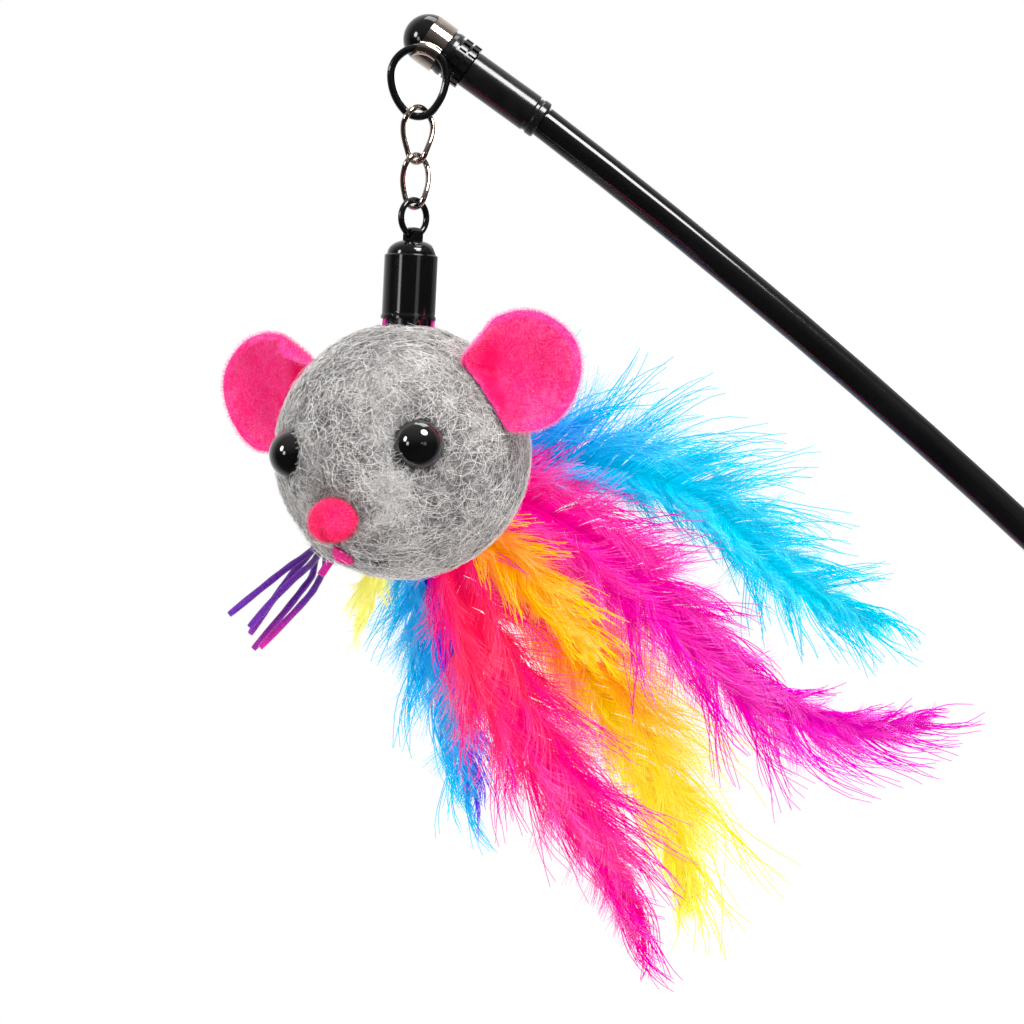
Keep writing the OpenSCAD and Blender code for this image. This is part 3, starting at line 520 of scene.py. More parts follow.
def lacquer(name, settings):
    """Black gloss lacquer, with faint scuffs that dull it in places."""
    material, g = new_finish(name, Coat_Weight=0.25, Coat_Roughness=0.03, Specular_IOR_Level=0.5)
    tone = g.noise(0.02)
    scuff = g.noise(0.0012, 6.0, 0.75, 0.6)
    g.dress(Base_Color=g.ramp(tone, (0.3, srgb(*settings.lacquer)), (0.7, srgb(0.04, 0.04, 0.046))),
            Roughness=scuff ** 3.0 * 0.12 + 0.10, Normal=g.bump(g.noise(0.006, 2.0), 0.000008, 0.4))
    return material


def chrome(name, settings):
    """Bright metal with a warm tint, fine brushing and a little tarnish."""
    material, g = new_finish(name, Metallic=1.0)
    tarnish = g.noise(0.003, 5.0, 0.6, 0.4)
    g.dress(Base_Color=g.ramp(tarnish, (0.3, srgb(*settings.chrome)), (0.7, srgb(0.88, 0.83, 0.79))),
            Roughness=g.noise(0.0006, 4.0) * 0.08 + 0.05, Normal=g.bump(g.noise(0.0008, 4.0), 0.000004))
    return material


def foam(name):
    """Dark closed-cell foam: a fine pitted skin."""
    material, g = new_finish(name, Roughness=0.85, Specular_IOR_Level=0.3)
    cells = g.get("ShaderNodeTexVoronoi", {"Vector": g.coords(), "Scale": 1900.0}, "Distance")
    big = g.noise(0.006, 4.0)
    g.dress(Base_Color=g.ramp(big, (0.3, srgb(0.09, 0.09, 0.1)), (0.75, srgb(0.17, 0.17, 0.18))),
            Normal=g.bump(cells + g.noise(0.0004) * 0.5, 0.00018, 0.9))
    return material


def bead(name):
    """The deep gloss of a black bead."""
    material, g = new_finish(name, Coat_Weight=1.0, Coat_Roughness=0.03, Coat_IOR=1.65)
    tone = g.noise(0.004)
    g.dress(Base_Color=g.ramp(tone, (0.3, srgb(0.01, 0.01, 0.012)), (0.7, srgb(0.03, 0.028, 0.03))),
            Roughness=g.noise(0.0005, 5.0) * 0.06 + 0.03)
    return material


def wool(name):
    """Grey felted wool: dark and pale patches of carded fibre, painted shade in the hollows, with a matted
    bump.
    """
    material, g = new_finish(name, Roughness=0.95, Specular_IOR_Level=0.15, Sheen_Weight=0.25,
                             Sheen_Roughness=0.5)
    strand = g.noise(0.0011, 6.0, 0.75, 2.5)
    tone = g.noise(0.011, 3.0, 0.6, 0.5) * 0.55 + strand * 0.45
    colour = g.ramp(tone, (0.34, srgb(0.20, 0.19, 0.19)), (0.48, srgb(0.46, 0.445, 0.44)),
                    (0.64, srgb(0.80, 0.79, 0.78)))
    # Painted shade: where the depth attribute is high the wool turns near black
    g.dress(Base_Color=g.mix(g.attribute("depth"), colour, srgb(0.10, 0.09, 0.09)),
            Normal=g.bump(strand + g.noise(0.0004, 4.0, 0.7, 1.0) * 0.5, 0.0005, 0.9))
    return material


def fibre_finish(name, dark, light, hollow=None, gloss=0.3, sheen=0.2):
    """Single fibres: each has its own tone between two colours, and a painted shade colour in the hollows."""
    material, g = new_finish(name, Roughness=0.6, Specular_IOR_Level=gloss, Sheen_Weight=sheen)
    tone = g.attribute("shade") * 0.55 + g.noise(0.009, 2.0, 0.5, 0.5) * 0.55
    colour = g.ramp(tone, (0.25, srgb(*dark)), (0.75, srgb(*light)))
    # Painted shade: the hollow colour is mixed in by the depth attribute
    g.dress(Base_Color=g.mix(g.attribute("depth"), colour, srgb(*hollow)) if hollow else colour)
    return material


def plush(name, deep, bright, pale, hollow):
    """Short plush: brighter where the pile lies one way, with brushed streaks, and painted shade in the
    hollows.
    """
    material, g = new_finish(name, Roughness=0.9, Specular_IOR_Level=0.05, Sheen_Weight=0.2,
                             Sheen_Roughness=0.4, Sheen_Tint=srgb(*pale))
    brushed = g.noise(0.005, 4.0, 0.6, 1.2)
    pile = g.noise(0.0005, 4.0, 0.7)
    tone = brushed * 0.65 + pile * 0.35
    colour = g.ramp(tone, (0.3, srgb(*deep)), (0.5, srgb(*bright)), (0.72, srgb(*pale)))
    # Painted shade: the hollow colour is mixed in by the depth attribute
    g.dress(Base_Color=g.mix(g.attribute("depth"), colour, srgb(*hollow)),
            Normal=g.bump(pile + brushed, 0.0004, 0.8))
    return material


def grey(level):
    """A grey that a finish is multiplied by."""
    return (level, level, level, 1.0)


def thread_finish(name, start, end=None):
    """Twisted thread, dyed from one colour to another along its length."""
    material, g = new_finish(name, Roughness=0.7, Specular_IOR_Level=0.25, Sheen_Weight=0.3)
    field = g.noise(0.0006, 4.0, 0.7, 1.0)
    colour = g.ramp(g.attribute("along"), (0.75, srgb(*start)), (0.97, srgb(*(end or start))))
    shade = g.ramp(field, (0.3, grey(0.55)), (0.7, grey(1.15)))
    g.dress(Base_Color=g.mix(1.0, colour, shade, "MULTIPLY"), Normal=g.bump(field, 0.0001, 0.8))
    return material


def plume_finish(name, dye, fringe=None, tip=None, down=0.0):
    """Dyed feather: colour runs along the shaft, may differ on one side, and changes at the barbs' tips. It
    glows faintly in that colour: painted light in place of light that shines through the thin barbs.
    """
    material, g = new_finish(name, Roughness=0.9, Specular_IOR_Level=0.0, Subsurface_Weight=0.8,
                             Subsurface_Scale=0.0004, Subsurface_Radius=(1.0, 1.0, 1.0), Emission_Strength=0.25)
    along, out, own, side = (g.attribute(n) for n in ("along", "out", "own", "side"))
    colour = g.ramp(along + (own - 0.5) * 0.12, *((place, srgb(*stop)) for place, *stop in dye))
    if fringe:
        colour = g.mix(g.math("LESS_THAN", side, 0.0) * (out * 0.3 + 0.7), colour, srgb(*fringe))
    if tip:
        colour = g.mix(out ** 2.2, colour, srgb(*tip))
    tone = g.ramp(own, (0.0, grey(0.70)), (0.5, grey(0.92)), (1.0, grey(1.05)))
    colour = g.mix(1.0, colour, tone, "MULTIPLY")
    if down:
        colour = g.mix(out ** 1.5 * down, colour, WHITE)
    # Emission in the dye's own colour is painted light
    g.dress(Base_Color=colour, Emission_Color=colour)
    return material


def quads(rows, sides, closed=False):
    """Faces between rows of points round a tube, whose last row meets its first if it is closed."""
    faces = []
    for i in range(rows if closed else rows - 1):
        for k in range(sides):
            n, after = (k + 1) % sides, (i + 1) % rows
            faces.append((i * sides + k, i * sides + n, after * sides + n, after * sides + k))
    return faces


def sweep(path, sides, reach):
    """A closed tube along a path. reach(share along, angle) is the radius there."""
    path = [Vector(p) for p in path]
    last = len(path) - 1
    verts, along = [], []
    up = Vector((0, 0, 1))
    for i, point in enumerate(path):
        ahead = (path[min(i + 1, last)] - path[max(i - 1, 0)]).normalized()
        across = ahead.cross(up)
        across = across.normalized() if across.length > 1e-6 else ahead.orthogonal().normalized()
        up = across.cross(ahead).normalized()
        for k in range(sides):
            a = 2 * math.pi * k / sides
            verts.append(point + reach(i / last, a) * (across * math.cos(a) + up * math.sin(a)))
            along.append(i / last)
    faces = quads(last + 1, sides)
    for end, share in ((0, 0.0), (last, 1.0)):
        verts.append(path[end])
        along.append(share)
        for k in range(sides):
            pair = (end * sides + k, end * sides + (k + 1) % sides)
            faces.append((len(verts) - 1, *(pair[::-1] if end == 0 else pair)))
    return verts, faces, along


def ring_tube(path, radius, sides):
    """A closed tube round a closed path."""
    verts = []
    for i, point in enumerate(path):
        ahead = (path[(i + 1) % len(path)] - path[i - 1]).normalized()
        side = Vector((1, 0, 0)) if abs(ahead.y) > 0.97 else Vector((0, 1, 0))
        across = ahead.cross(side).normalized()
        up = ahead.cross(across)
        for k in range(sides):
            a = 2 * math.pi * k / sides
            verts.append(point + radius * (across * math.cos(a) - up * math.sin(a)))
    return verts, quads(len(path), sides, closed=True)


def loop_point(share, top_r, low_r, high):
    """A place on a link's outline: two arcs of different size and the straight sides that touch both."""
    apart = high - top_r - low_r
    lean = math.asin((top_r - low_r) / apart)
    side = math.sqrt(apart ** 2 - (top_r - low_r) ** 2)
    top, low = Vector((0, high / 2 - top_r)), Vector((0, low_r - high / 2))
    over, under = top_r * (math.pi + 2 * lean), low_r * (math.pi - 2 * lean)

    def polar(r, a):
        return Vector((r * math.cos(a), r * math.sin(a)))
    d = share * (over + under + 2 * side)
    if d < over:
        return top + polar(top_r, d / top_r - lean)
    if d < over + side:
        return (top + polar(top_r, math.pi + lean)).lerp(low + polar(low_r, math.pi + lean), (d - over) / side)
    if d < over + side + under:
        return low + polar(low_r, math.pi + lean + (d - over - side) / low_r)
    return (low + polar(low_r, -lean)).lerp(top + polar(top_r, -lean), (d - over - side - under) / side)


def on_chain(depth, about=0.0):
    """A place on the leaning chain, at a depth below the ring."""
    place = Matrix.Translation(CHAIN_TOP) @ turn("Y", CHAIN_LEAN)
    return place @ Matrix.Translation((0, 0, -depth)) @ turn("Z", about)


def closeness(angle, width):
    """1 at no angle, and falling towards 0 beyond the width."""
    return math.exp(-(angle / width) ** 2)


def degrees_between(a, b):
    return math.degrees(a.angle(b))


def face_way(az, el, axis=(0, 0, 1)):
    """The direction that an axis has at a place on the face: +Z is straight out."""
    return (on_face(az, el).to_3x3() @ Vector(axis)).normalized()


NOSE_WAY = face_way(*NOSE_PLACE)
NOSE_DOWN = face_way(*NOSE_PLACE, axis=(0, -1, 0))
NOSE_ACROSS = NOSE_WAY.cross(NOSE_DOWN)
NOSE_SIDE = NOSE_ACROSS * (1 if NOSE_ACROSS.x > 0 else -1)
EYE_WAYS = [face_way(side * EYE_SPREAD, EYE_RISE) for side in (-1, 1)]


def snout_place(down, across):
    """A direction from the head's centre, so many degrees below the nose and to the right of it."""
    low, side = math.radians(down), math.radians(across)
    ahead = NOSE_WAY * math.cos(side) + NOSE_SIDE * math.sin(side)
    return (ahead * math.cos(low) + NOSE_DOWN * math.sin(low)).normalized()


# The snout's bulges with their heights in millimetres, the furrow between the eyes, and the dimples
PUFFS = [(snout_place(19, -20), 1.4), (snout_place(17, 9), 1.6), (snout_place(-9, 26), 0.7),
         (snout_place(34, -2), 0.6)]
FURROW = snout_place(-14, -7)
DIMPLES = [snout_place(-17, 33), snout_place(-19, -19), snout_place(-2, 17)]


def beside_nose(way):
    """How many degrees a direction lies below the nose and to the right of it."""
    return (math.degrees(math.asin(max(-1, min(1, way.dot(NOSE_DOWN))))),
            math.degrees(math.atan2(way.dot(NOSE_SIDE), way.dot(NOSE_WAY))))


def lip_fall(across):
    """How far below the nose the lip's line lies."""
    return 30 - 0.022 * (across - 11) ** 2


def cleft(way):
    """Share of the mouth's cleft: a crease that runs down from the nose, and the lip's line beside it."""
    down, across = beside_nose(way)
    deep = closeness(across + 8 + 0.18 * (down - 13), 2.3) * closeness(max(0, down - 29, 11 - down), 2.5)
    lip = closeness(down - lip_fall(across), 1.7) * closeness(max(0, across - 15, -6 - across), 2.5)
    return max(deep, 0.8 * lip)


def head_radius(way):
    """The wool's radius in a direction: a ball with a snout, lumps, eye sockets, cheeks and a cleft mouth."""
    out = HEAD_R + SNOUT_OUT * closeness(degrees_between(way, NOSE_WAY), SNOUT_SPREAD)
    out += MM * (0.30 * noise.noise(way * 2.7) + 0.22 * noise.noise(way * 6.5 + Vector((3, 1, 7))))
    out += MM * 0.10 * noise.noise(way * 17)
    for eye in EYE_WAYS:
        angle = degrees_between(way, eye)
        out += MM * (0.45 * closeness(angle - 19, 6) - 0.9 * closeness(angle, 12))
    for puff, height in PUFFS:
        out += MM * height * closeness(degrees_between(way, puff), 8)
    for dimple in DIMPLES:
        out -= MM * 0.9 * closeness(degrees_between(way, dimple), 4)
    return out - MM * (2.0 * cleft(way) + 0.8 * closeness(degrees_between(way, FURROW), 8))


def head_mesh():
    """The wool's surface. Its depth is painted shade, which darkens it round the eyes, under the nose and in
    folds.
    """
    made = bmesh.new()
    bmesh.ops.create_icosphere(made, subdivisions=6, radius=1.0)
    painted_shade = []
    for vert in made.verts:
        way = vert.co.normalized()
        vert.co = HEAD_C + way * head_radius(way)
        # Painted shade, kept as depth: round the eye sockets, under the nose, in the dimples, the furrow and
        # the mouth's cleft
        around = max(closeness(max(0, degrees_between(way, eye) - 11), 3) for eye in EYE_WAYS)
        under = closeness(max(0, degrees_between(way, NOSE_WAY) - 10), 2.5)
        dimple = max(closeness(degrees_between(way, place), 3.5) for place in DIMPLES)
        furrow = closeness(degrees_between(way, FURROW), 7)
        painted_shade.append(min(0.9, 0.9 * cleft(way) + 0.5 * around + 0.45 * under + 0.5 * dimple + 0.3 * furrow))
    return mesh_from(made, "head_wool", depth=painted_shade)


def patch_of(surface, way, angle):
    """The part of the head's surface within an angle of a direction."""
    made = bmesh.new()
    made.from_mesh(surface)
    far = [f for f in made.faces if degrees_between(f.calc_center_median() - HEAD_C, way) > angle]
    bmesh.ops.delete(made, geom=far, context="FACES")
    return mesh_from(made, "patch")


def fibres(name, surface, material, slot, count, **settings):
    """A piece of fibres on a surface of the head, from the fibre tree."""
    tree = bpy.data.node_groups.get("Fibres") or fibre_tree()
    area = sum(p.area for p in surface.polygons)
    given = {label.replace("_", " "): value for label, value in settings.items()}
    given.update({"Count Per Area": count / area, "Centre": HEAD_C, "Material": material})
    # The fibres keep the surface's depth, its painted shade
    mesh = run_tree(tree, name, surface.copy(), given, ("shade", "out", "depth"))
    return piece_of(name, mesh, None, "mouse")


def size_of(name, text, default):
    return FloatProperty(name=name, description=text, default=default, unit="LENGTH")


def count_of(name, text, default, least=0):
    return IntProperty(name=name, description=text, default=default, min=least)


def colour_of(name, text, default):
    return FloatVectorProperty(name=name, description=text, subtype="COLOR", default=default)


class WandFinish(bpy.types.PropertyGroup):
    lacquer: colour_of("Lacquer", "Black of the rod and the tip", (0.02, 0.02, 0.024))
    chrome: colour_of("Chrome", "Tint of the band and the links", (0.76, 0.69, 0.64))


class HeadLook(bpy.types.PropertyGroup):
    fibre_count: count_of("Fibres", "Pale fibres in each of two layers on the head", 5800)
    fibre_length: size_of("Fibre length", "Mean length of a fibre", 0.0052)
    fibre_width: size_of("Fibre radius", "Radius of a fibre", 0.00003)


class EarLook(bpy.types.PropertyGroup):
    pile_count: count_of("Pile", "Hairs in the pile of one ear", 10800)
    pile_length: size_of("Pile length", "Length of the pile", 0.00055)
    colour: colour_of("Plush", "Main colour of the plush", (0.97, 0.19, 0.54))


class PlumeLook(bpy.types.PropertyGroup):
    barbs: count_of("Barbs", "Long barbs on each feather", 480, 2)
    down: count_of("Down", "Fine strands of down on each feather", 4300, 2)
    barb_radius: size_of("Barb radius", "Radius of a barb at its root", 0.00015)
    down_radius: size_of("Down radius", "Radius of a strand of down", 0.00007)


class StageLook(bpy.types.PropertyGroup):
    lamps: FloatProperty(name="Lamps", description="Strength of all lamps", default=1.25)
    daylight: FloatProperty(name="Surround", description="Strength of the light from all around", default=0.8)


# How the seven feathers' shafts lie, as the solids have them: their lean in depth, how far behind the
# head's middle they leave it, where round it, and their turns at four places
STATIONS = 22
SHAFT_ROOT_R = 0.34 * MM
SHAFT_TIP_R = 0.08 * MM
LEAN_TABLE = [0.04, 0, 0.1, -0.07, 0.04, -0.13, 0]
LAYER_TABLE = [0.795, 0.717, 0.869, 0.639, 0.795, 0.557, 0.717]
ROOT_TABLE = [8, 25, 50, 62, 80, 48, 104]
TURN_TABLE = [[-4, 8, 48, 20], [14, 42, 42, -16], [36, 57, 60, 78], [78, 66, 54, 70],
              [84, 80, 72, 84], [44, 44, 46, 50], [100, 103, 106, 110]]
# Each feather: the shaft's length, and at five places along it how far the barbs reach and how they slant
# from it on the upper or right side and on the lower or left side, then its shares of barbs and of down,
# and its dye: places along the shaft with the colour there, and the colour of one side or of the tips
PLUMES = [
    {"name": "cyan", "length": 84, "above": (28, 27, 25, 20, 13), "below": (15, 15, 17, 18, 12),
     "slant_above": (66, 58, 54, 54, 30), "slant_below": (52, 50, 54, 54, 30), "barbs": 1.1, "down": 1.2,
     "dye": [(0.0, 0.0, 0.46, 0.92), (0.15, 0.0, 0.64, 0.94), (0.4, 0.0, 0.80, 0.95), (1.0, 0.0, 0.84, 0.95)],
     "tip": (0.0, 0.68, 0.86)},
    {"name": "magenta", "length": 97, "above": (20, 22, 18, 14, 10), "below": (22, 27, 29, 25, 13),
     "slant_above": (66, 60, 48, 40, 24), "slant_below": (60, 50, 42, 52, 30), "barbs": 1.1, "down": 1.2,
     "dye": [(0.0, 0.98, 0.0, 0.54), (0.3, 0.95, 0.02, 0.66), (0.6, 0.92, 0.0, 0.70), (1.0, 0.92, 0.06, 0.76)],
     "tip": (0.78, 0.0, 0.60)},
    {"name": "orange", "length": 91, "above": (20, 30, 38, 34, 15), "below": (15, 19, 22, 20, 11),
     "slant_above": (60, 54, 48, 42, 22), "slant_below": (54, 50, 46, 40, 22), "barbs": 0.6, "down": 1.4,
     "dye": [(0.0, 1.0, 0.10, 0.10), (0.22, 1.0, 0.26, 0.02), (0.42, 1.0, 0.58, 0.0), (0.58, 1.0, 0.87, 0.03),
             (1.0, 1.0, 0.93, 0.18)], "tip": (1.0, 0.84, 0.06)},
    {"name": "pink", "length": 80, "above": (18, 26, 29, 24, 16), "below": (14, 28, 30, 26, 17),
     "slant_above": (58, 50, 42, 34, 20), "slant_below": (54, 42, 36, 32, 20), "barbs": 1.1, "down": 1.2,
     "dye": [(0.0, 1.0, 0.0, 0.52), (0.2, 1.0, 0.10, 0.30), (0.4, 0.98, 0.03, 0.46), (0.6, 0.97, 0.0, 0.55),
             (1.0, 0.96, 0.0, 0.60)], "tip": (0.86, 0.0, 0.52)},
    {"name": "blue", "length": 50, "above": (10, 14, 17, 15, 10), "below": (15, 21, 25, 23, 15),
     "slant_above": (52, 48, 42, 36, 20), "slant_below": (54, 46, 40, 34, 20), "barbs": 0.9, "down": 1.2,
     "dye": [(0.0, 0.04, 0.10, 0.74), (0.5, 0.22, 0.14, 0.84), (1.0, 0.34, 0.22, 0.92)],
     "fringe": (0.0, 0.72, 0.95)},
    {"name": "amber", "length": 31, "above": (13, 17, 18, 15, 10), "below": (10, 13, 14, 12, 8),
     "slant_above": (50, 46, 42, 34, 18), "slant_below": (46, 42, 38, 32, 18), "barbs": 0.8, "down": 0.8,
     "dye": [(0.0, 1.0, 0.54, 0.0), (0.6, 1.0, 0.72, 0.03), (1.0, 1.0, 0.82, 0.12)], "tip": (0.98, 0.72, 0.05)},
    {"name": "pale", "length": 16, "above": (7, 9, 10, 8, 6), "below": (7, 9, 10, 8, 6),
     "slant_above": (42, 38, 34, 28, 16), "slant_below": (42, 38, 34, 28, 16), "barbs": 0.4, "down": 0.7,
     "dye": [(0.0, 1.0, 0.96, 0.34), (1.0, 1.0, 1.0, 0.55)]},
]


def between(values, t):
    """The value at a share t along a list of evenly spaced values."""
    at = t * (len(values) - 1)
    k = min(int(at), len(values) - 2)
    return values[k] + (values[k + 1] - values[k]) * (at - k)


def shaft_path(index, length):
    """The shaft's points, from the wool to the tip, as the solid vane has them."""
    def turned(t, lean=0):
        a = math.radians(between(TURN_TABLE[index], t))
        return Vector((math.cos(a), lean, -math.sin(a)))

    back = HEAD_R * LAYER_TABLE[index]
    out = math.sqrt(HEAD_R ** 2 - back ** 2)
    place = math.radians(ROOT_TABLE[index])
    point = HEAD_C + Vector((out * math.cos(place), back, -out * math.sin(place)))
    point = point - turned(0) * 2.5 * MM
    fine = 3 * STATIONS
    path = [point.copy()]
    for k in range(fine):
        point = point + length * (1 + 3 * MM / length) / fine * turned((k + 0.5) / fine, LEAN_TABLE[index])
        path.append(point.copy())
    return path


def shaft_radius(t, a):
    """The shaft's radius at a share t along it, the same all round."""
    return SHAFT_ROOT_R - (SHAFT_ROOT_R - SHAFT_TIP_R) * t ** 0.7


def shaft_mesh(index, plume):
    """The shaft as a line mesh that says how far the barbs reach on each side, and how they slant."""
    path = shaft_path(index, plume["length"] * MM)
    last = len(path) - 1
    mesh = bpy.data.meshes.new("shaft")
    mesh.from_pydata([tuple(p) for p in path], [(k, k + 1) for k in range(last)], [])
    for name, key, unit in (("left", "above", MM), ("right", "below", MM),
                            ("slant_left", "slant_above", math.radians(1)),
                            ("slant_right", "slant_below", math.radians(1))):
        note(mesh, **{name: [between(plume[key], k / last) * unit for k in range(last + 1)]})
    return mesh


def read(items, name, kind, width=1):
    """One named number, or so many of them, of each item in a mesh's list."""
    found = np.zeros(len(items) * width, kind)
    items.foreach_get(name, found)
    return found


def join(name, meshes, materials, labels):
    """Several plain meshes as one, each with its own material, with their named values kept."""
    joined = bpy.data.meshes.new(name)
    points, corners, starts, which = [], [], [], []
    values = {label: [] for label in labels}
    base = first = 0
    for k, mesh in enumerate(meshes):
        joined.materials.append(materials[k])
        points.append(read(mesh.vertices, "co", np.float32, 3))
        corners.append(read(mesh.loops, "vertex_index", np.int32) + base)
        starts.append(read(mesh.polygons, "loop_start", np.int32) + first)
        which.append(np.full(len(mesh.polygons), k, np.int32))
        base += len(mesh.vertices)
        first += len(mesh.loops)
        for label in labels:
            values[label].append(read(mesh.attributes[label].data, "value", np.float32))
    for items, key, parts in ((joined.vertices, "co", points), (joined.loops, "vertex_index", corners),
                              (joined.polygons, "loop_start", starts)):
        every = np.concatenate(parts)
        items.add(len(every) // (3 if key == "co" else 1))
        items.foreach_set(key, every)
    joined.polygons.foreach_set("material_index", np.concatenate(which))
    joined.update(calc_edges=True)
    note(joined, **{label: np.concatenate(found) for label, found in values.items()})
    joined.shade_smooth()
    return joined


class WAND_OT_stage(bpy.types.Operator):
    """Camera, lamps, surround and a pale floor"""
    bl_idname = "wand.stage"
    bl_label = "Stage"

    def execute(self, context):
        scene = context.scene
        camera = bpy.data.objects.new("camera", bpy.data.cameras.new("camera"))
        camera.data.lens = CAMERA_LENS
        camera.data.sensor_width = 36.0
        camera.data.clip_end = 20.0
        camera.location = CAMERA_PLACE
        camera.rotation_euler = (math.radians(90), 0, 0)
        scene.collection.objects.link(camera)
        scene.camera = camera
        scene.view_settings.view_transform = "Standard"
        for name, (way, distance, size, power) in LAMPS.items():
            place = HEAD_C + Vector(way).normalized() * distance
            data = bpy.data.lights.new(name, "AREA")
            data.shape = "ELLIPSE" if name in ("key", "left") else "RECTANGLE"
            data.size, data.size_y = size
            data.energy = power * scene.wand_stage.lamps
            lamp = bpy.data.objects.new(name, data)
            lamp.location = place
            lamp.rotation_euler = (HEAD_C - place).to_track_quat("-Z", "Y").to_euler()
            lamp.visible_glossy = name not in ("front", "right")
            lamp.visible_diffuse = "strip" not in name
            scene.collection.objects.link(lamp)
        scene.world = self.surround(scene.wand_stage.daylight)
        self.floor(scene)
        return {"FINISHED"}

    def surround(self, daylight):
        """White for the camera, soft daylight on matt things, and a darker room in mirrors."""
        world = bpy.data.worlds.new("surround")
        world.use_nodes = True
        g = Graph(world.node_tree)
        rays = g.node("ShaderNodeLightPath").outputs
        parts = g.node("ShaderNodeSeparateXYZ", [g.get("ShaderNodeTexCoord", output="Generated")]).outputs
        behind, above = (g.math("MAXIMUM", Value(g, part), 0.0) for part in parts[1:])
        room = behind * 0.9 + (above * 0.25 + 0.03)
        kinds = ("Camera", "Glossy", "Transmission")
        camera, glossy, clear = (Value(g, rays[f"Is {kind} Ray"]) for kind in kinds)
        mirror = g.math("MAXIMUM", glossy, clear)
        strength = camera + (1.0 - camera) * (mirror * room + (1.0 - mirror) * daylight)
        shader = world.node_tree.nodes["Background"]
        g.put(shader.inputs["Color"], WHITE)
        g.put(shader.inputs["Strength"], strength)
        return world

    def floor(self, scene):
        """A round pale floor under the butt of the handle, which fades into the white surround."""
        middle = (HEAD_C.x + FLOOR_ASIDE, 0.0, CAD_BOX[0][2] - FLOOR_GAP)
        made = bmesh.new()
        bmesh.ops.create_circle(made, cap_ends=True, radius=FLOOR_R, segments=96)
        mesh = mesh_from(made, "floor")
        mesh.transform(Matrix.Translation(middle))
        material, g = new_finish("floor_paper", Roughness=0.9, Specular_IOR_Level=0.1)
        away = g.vec("LENGTH", g.coords() - middle)
        edge = g.get("ShaderNodeMapRange", {"Value": away, "From Min": 0.3, "From Max": 0.72})
        grain = g.noise(0.002, 4.0)
        g.dress(Base_Color=g.ramp(grain, (0.0, (0.86, 0.86, 0.855, 1)), (1.0, (0.92, 0.92, 0.915, 1))))
        light = g.get("ShaderNodeEmission", {"Color": WHITE, "Strength": 1.0})
        nodes = material.node_tree.nodes
        paper = Value(g, nodes["Principled BSDF"].outputs[0])
        both = g.get("ShaderNodeMixShader", {0: edge, 1: paper, 2: light})
        g.put(nodes["Material Output"].inputs["Surface"], both)
        mesh.materials.append(material)
        floor = bpy.data.objects.new("floor", mesh)
        scene.collection.objects.link(floor)
        floor.visible_glossy = False


class WAND_OT_hard_parts(bpy.types.Operator):
    """Finishes of the rod, tip, chain, cap, handle and eyes"""
    bl_idname = "wand.hard_parts"
    bl_label = "Rod, tip, chain, cap and eyes"

    def execute(self, context):
        look = context.scene.wand_finish
        black = lacquer("black_lacquer", look)
        steel = mottled("spindle_steel", (0.5, 0.5, 0.52), (0.62, 0.62, 0.63), 0.001, 0.35, 0.00001,
                        Metallic=1.0)
        plastic = mottled("inner_plastic", (0.12, 0.12, 0.13), (0.2, 0.2, 0.21), 0.002, 0.5, 0.00002)
        moulded = mottled("moulded_black", (0.02, 0.02, 0.023), (0.06, 0.06, 0.065), 0.004, 0.22, 0.00002,
                          Coat_Weight=0.3)
        chosen = {
            black: ["wand_rod", "lure_ring", "small_ring", "bell_cap", "ball_cap"],
            moulded: ["tip_ferrule", "ferrule_ring", "notched_collar", "handle_collar", "butt_cap",
                      "cap_gasket"],
            plastic: ["neck_bush", "handle_core", "head_stem"], steel: ["tip_spindle"],
            chrome("warm_chrome", look): ["swivel_band", "link_upper", "link_lower"],
            bead("black_bead"): ["eye_left", "eye_right"],
        }
        for material, nodes in chosen.items():
            for node in nodes:
                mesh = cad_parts[node].data
                if not mesh.materials:
                    mesh.materials.append(material)
                for k in range(len(mesh.materials)):
                    mesh.materials[k] = material
        return {"FINISHED"}


class WAND_OT_head(bpy.types.Operator):
    """The felted wool head with its fibres"""
    bl_idname = "wand.head"
    bl_label = "Head"

    def execute(self, context):
        look = context.scene.wand_head
        mesh = head_mesh()
        head = piece_of("head_wool", mesh, wool("felted_wool"), "mouse")
        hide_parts("head")
        # Painted shade colour that the fibres take in the head's recesses
        hollow = (0.16, 0.14, 0.14)
        pale = fibre_finish("pale_fibres", (0.56, 0.545, 0.54), (0.99, 0.98, 0.97), hollow)
        dark = fibre_finish("dark_fibres", (0.06, 0.055, 0.055), (0.32, 0.305, 0.30), hollow)
        tufted = fibre_finish("tuft_fibres", (0.62, 0.61, 0.60), (0.93, 0.92, 0.91))
        count, length, width = look.fibre_count * fewer(), look.fibre_length, look.fibre_width

        tuft = patch_of(mesh, snout_place(*TUFT_PLACE), 8)
        crown = patch_of(mesh, (CHAIN_TOP - HEAD_C).normalized(), 10)

        def layer(name, surface, material, count, length, width, curl, waves, lift, seed, **stand):
            fibres(name, surface, material, "felt_grey", count, Steps=6, Length=length, Radius=width, Curl=curl,
                   Waves=waves, Lift=lift, Seed=seed, **stand)

        layer("head_fibres_pale_1", mesh, pale, count, length, width, 0.26, 4.0, 0.0004, 11)
        layer("head_fibres_pale_2", mesh, pale, count, length, width, 0.16, 5.0, 0.0004, 23)
        layer("head_fibres_dark", mesh, dark, count * 0.85, length * 0.85, width, 0.3, 5.0, 0.00022, 47)
        layer("head_tuft", tuft, tufted, 330, 0.0046, width, 0.35, 4.0, 0.0006, 91, Stand=0.25, Lean=1.4)
        layer("head_crown", crown, tufted, 130, 0.0026, width, 0.3, 3.0, 0.0003, 97, Stand=0.9, Lean=0.7)
        layer("head_fibres_stray", mesh, pale, 2200 * fewer(), 0.0028, width * 0.7, 0.3, 5.0, 0.0004, 37,
              Stand=0.4, Lean=1.8)
        return {"FINISHED"}


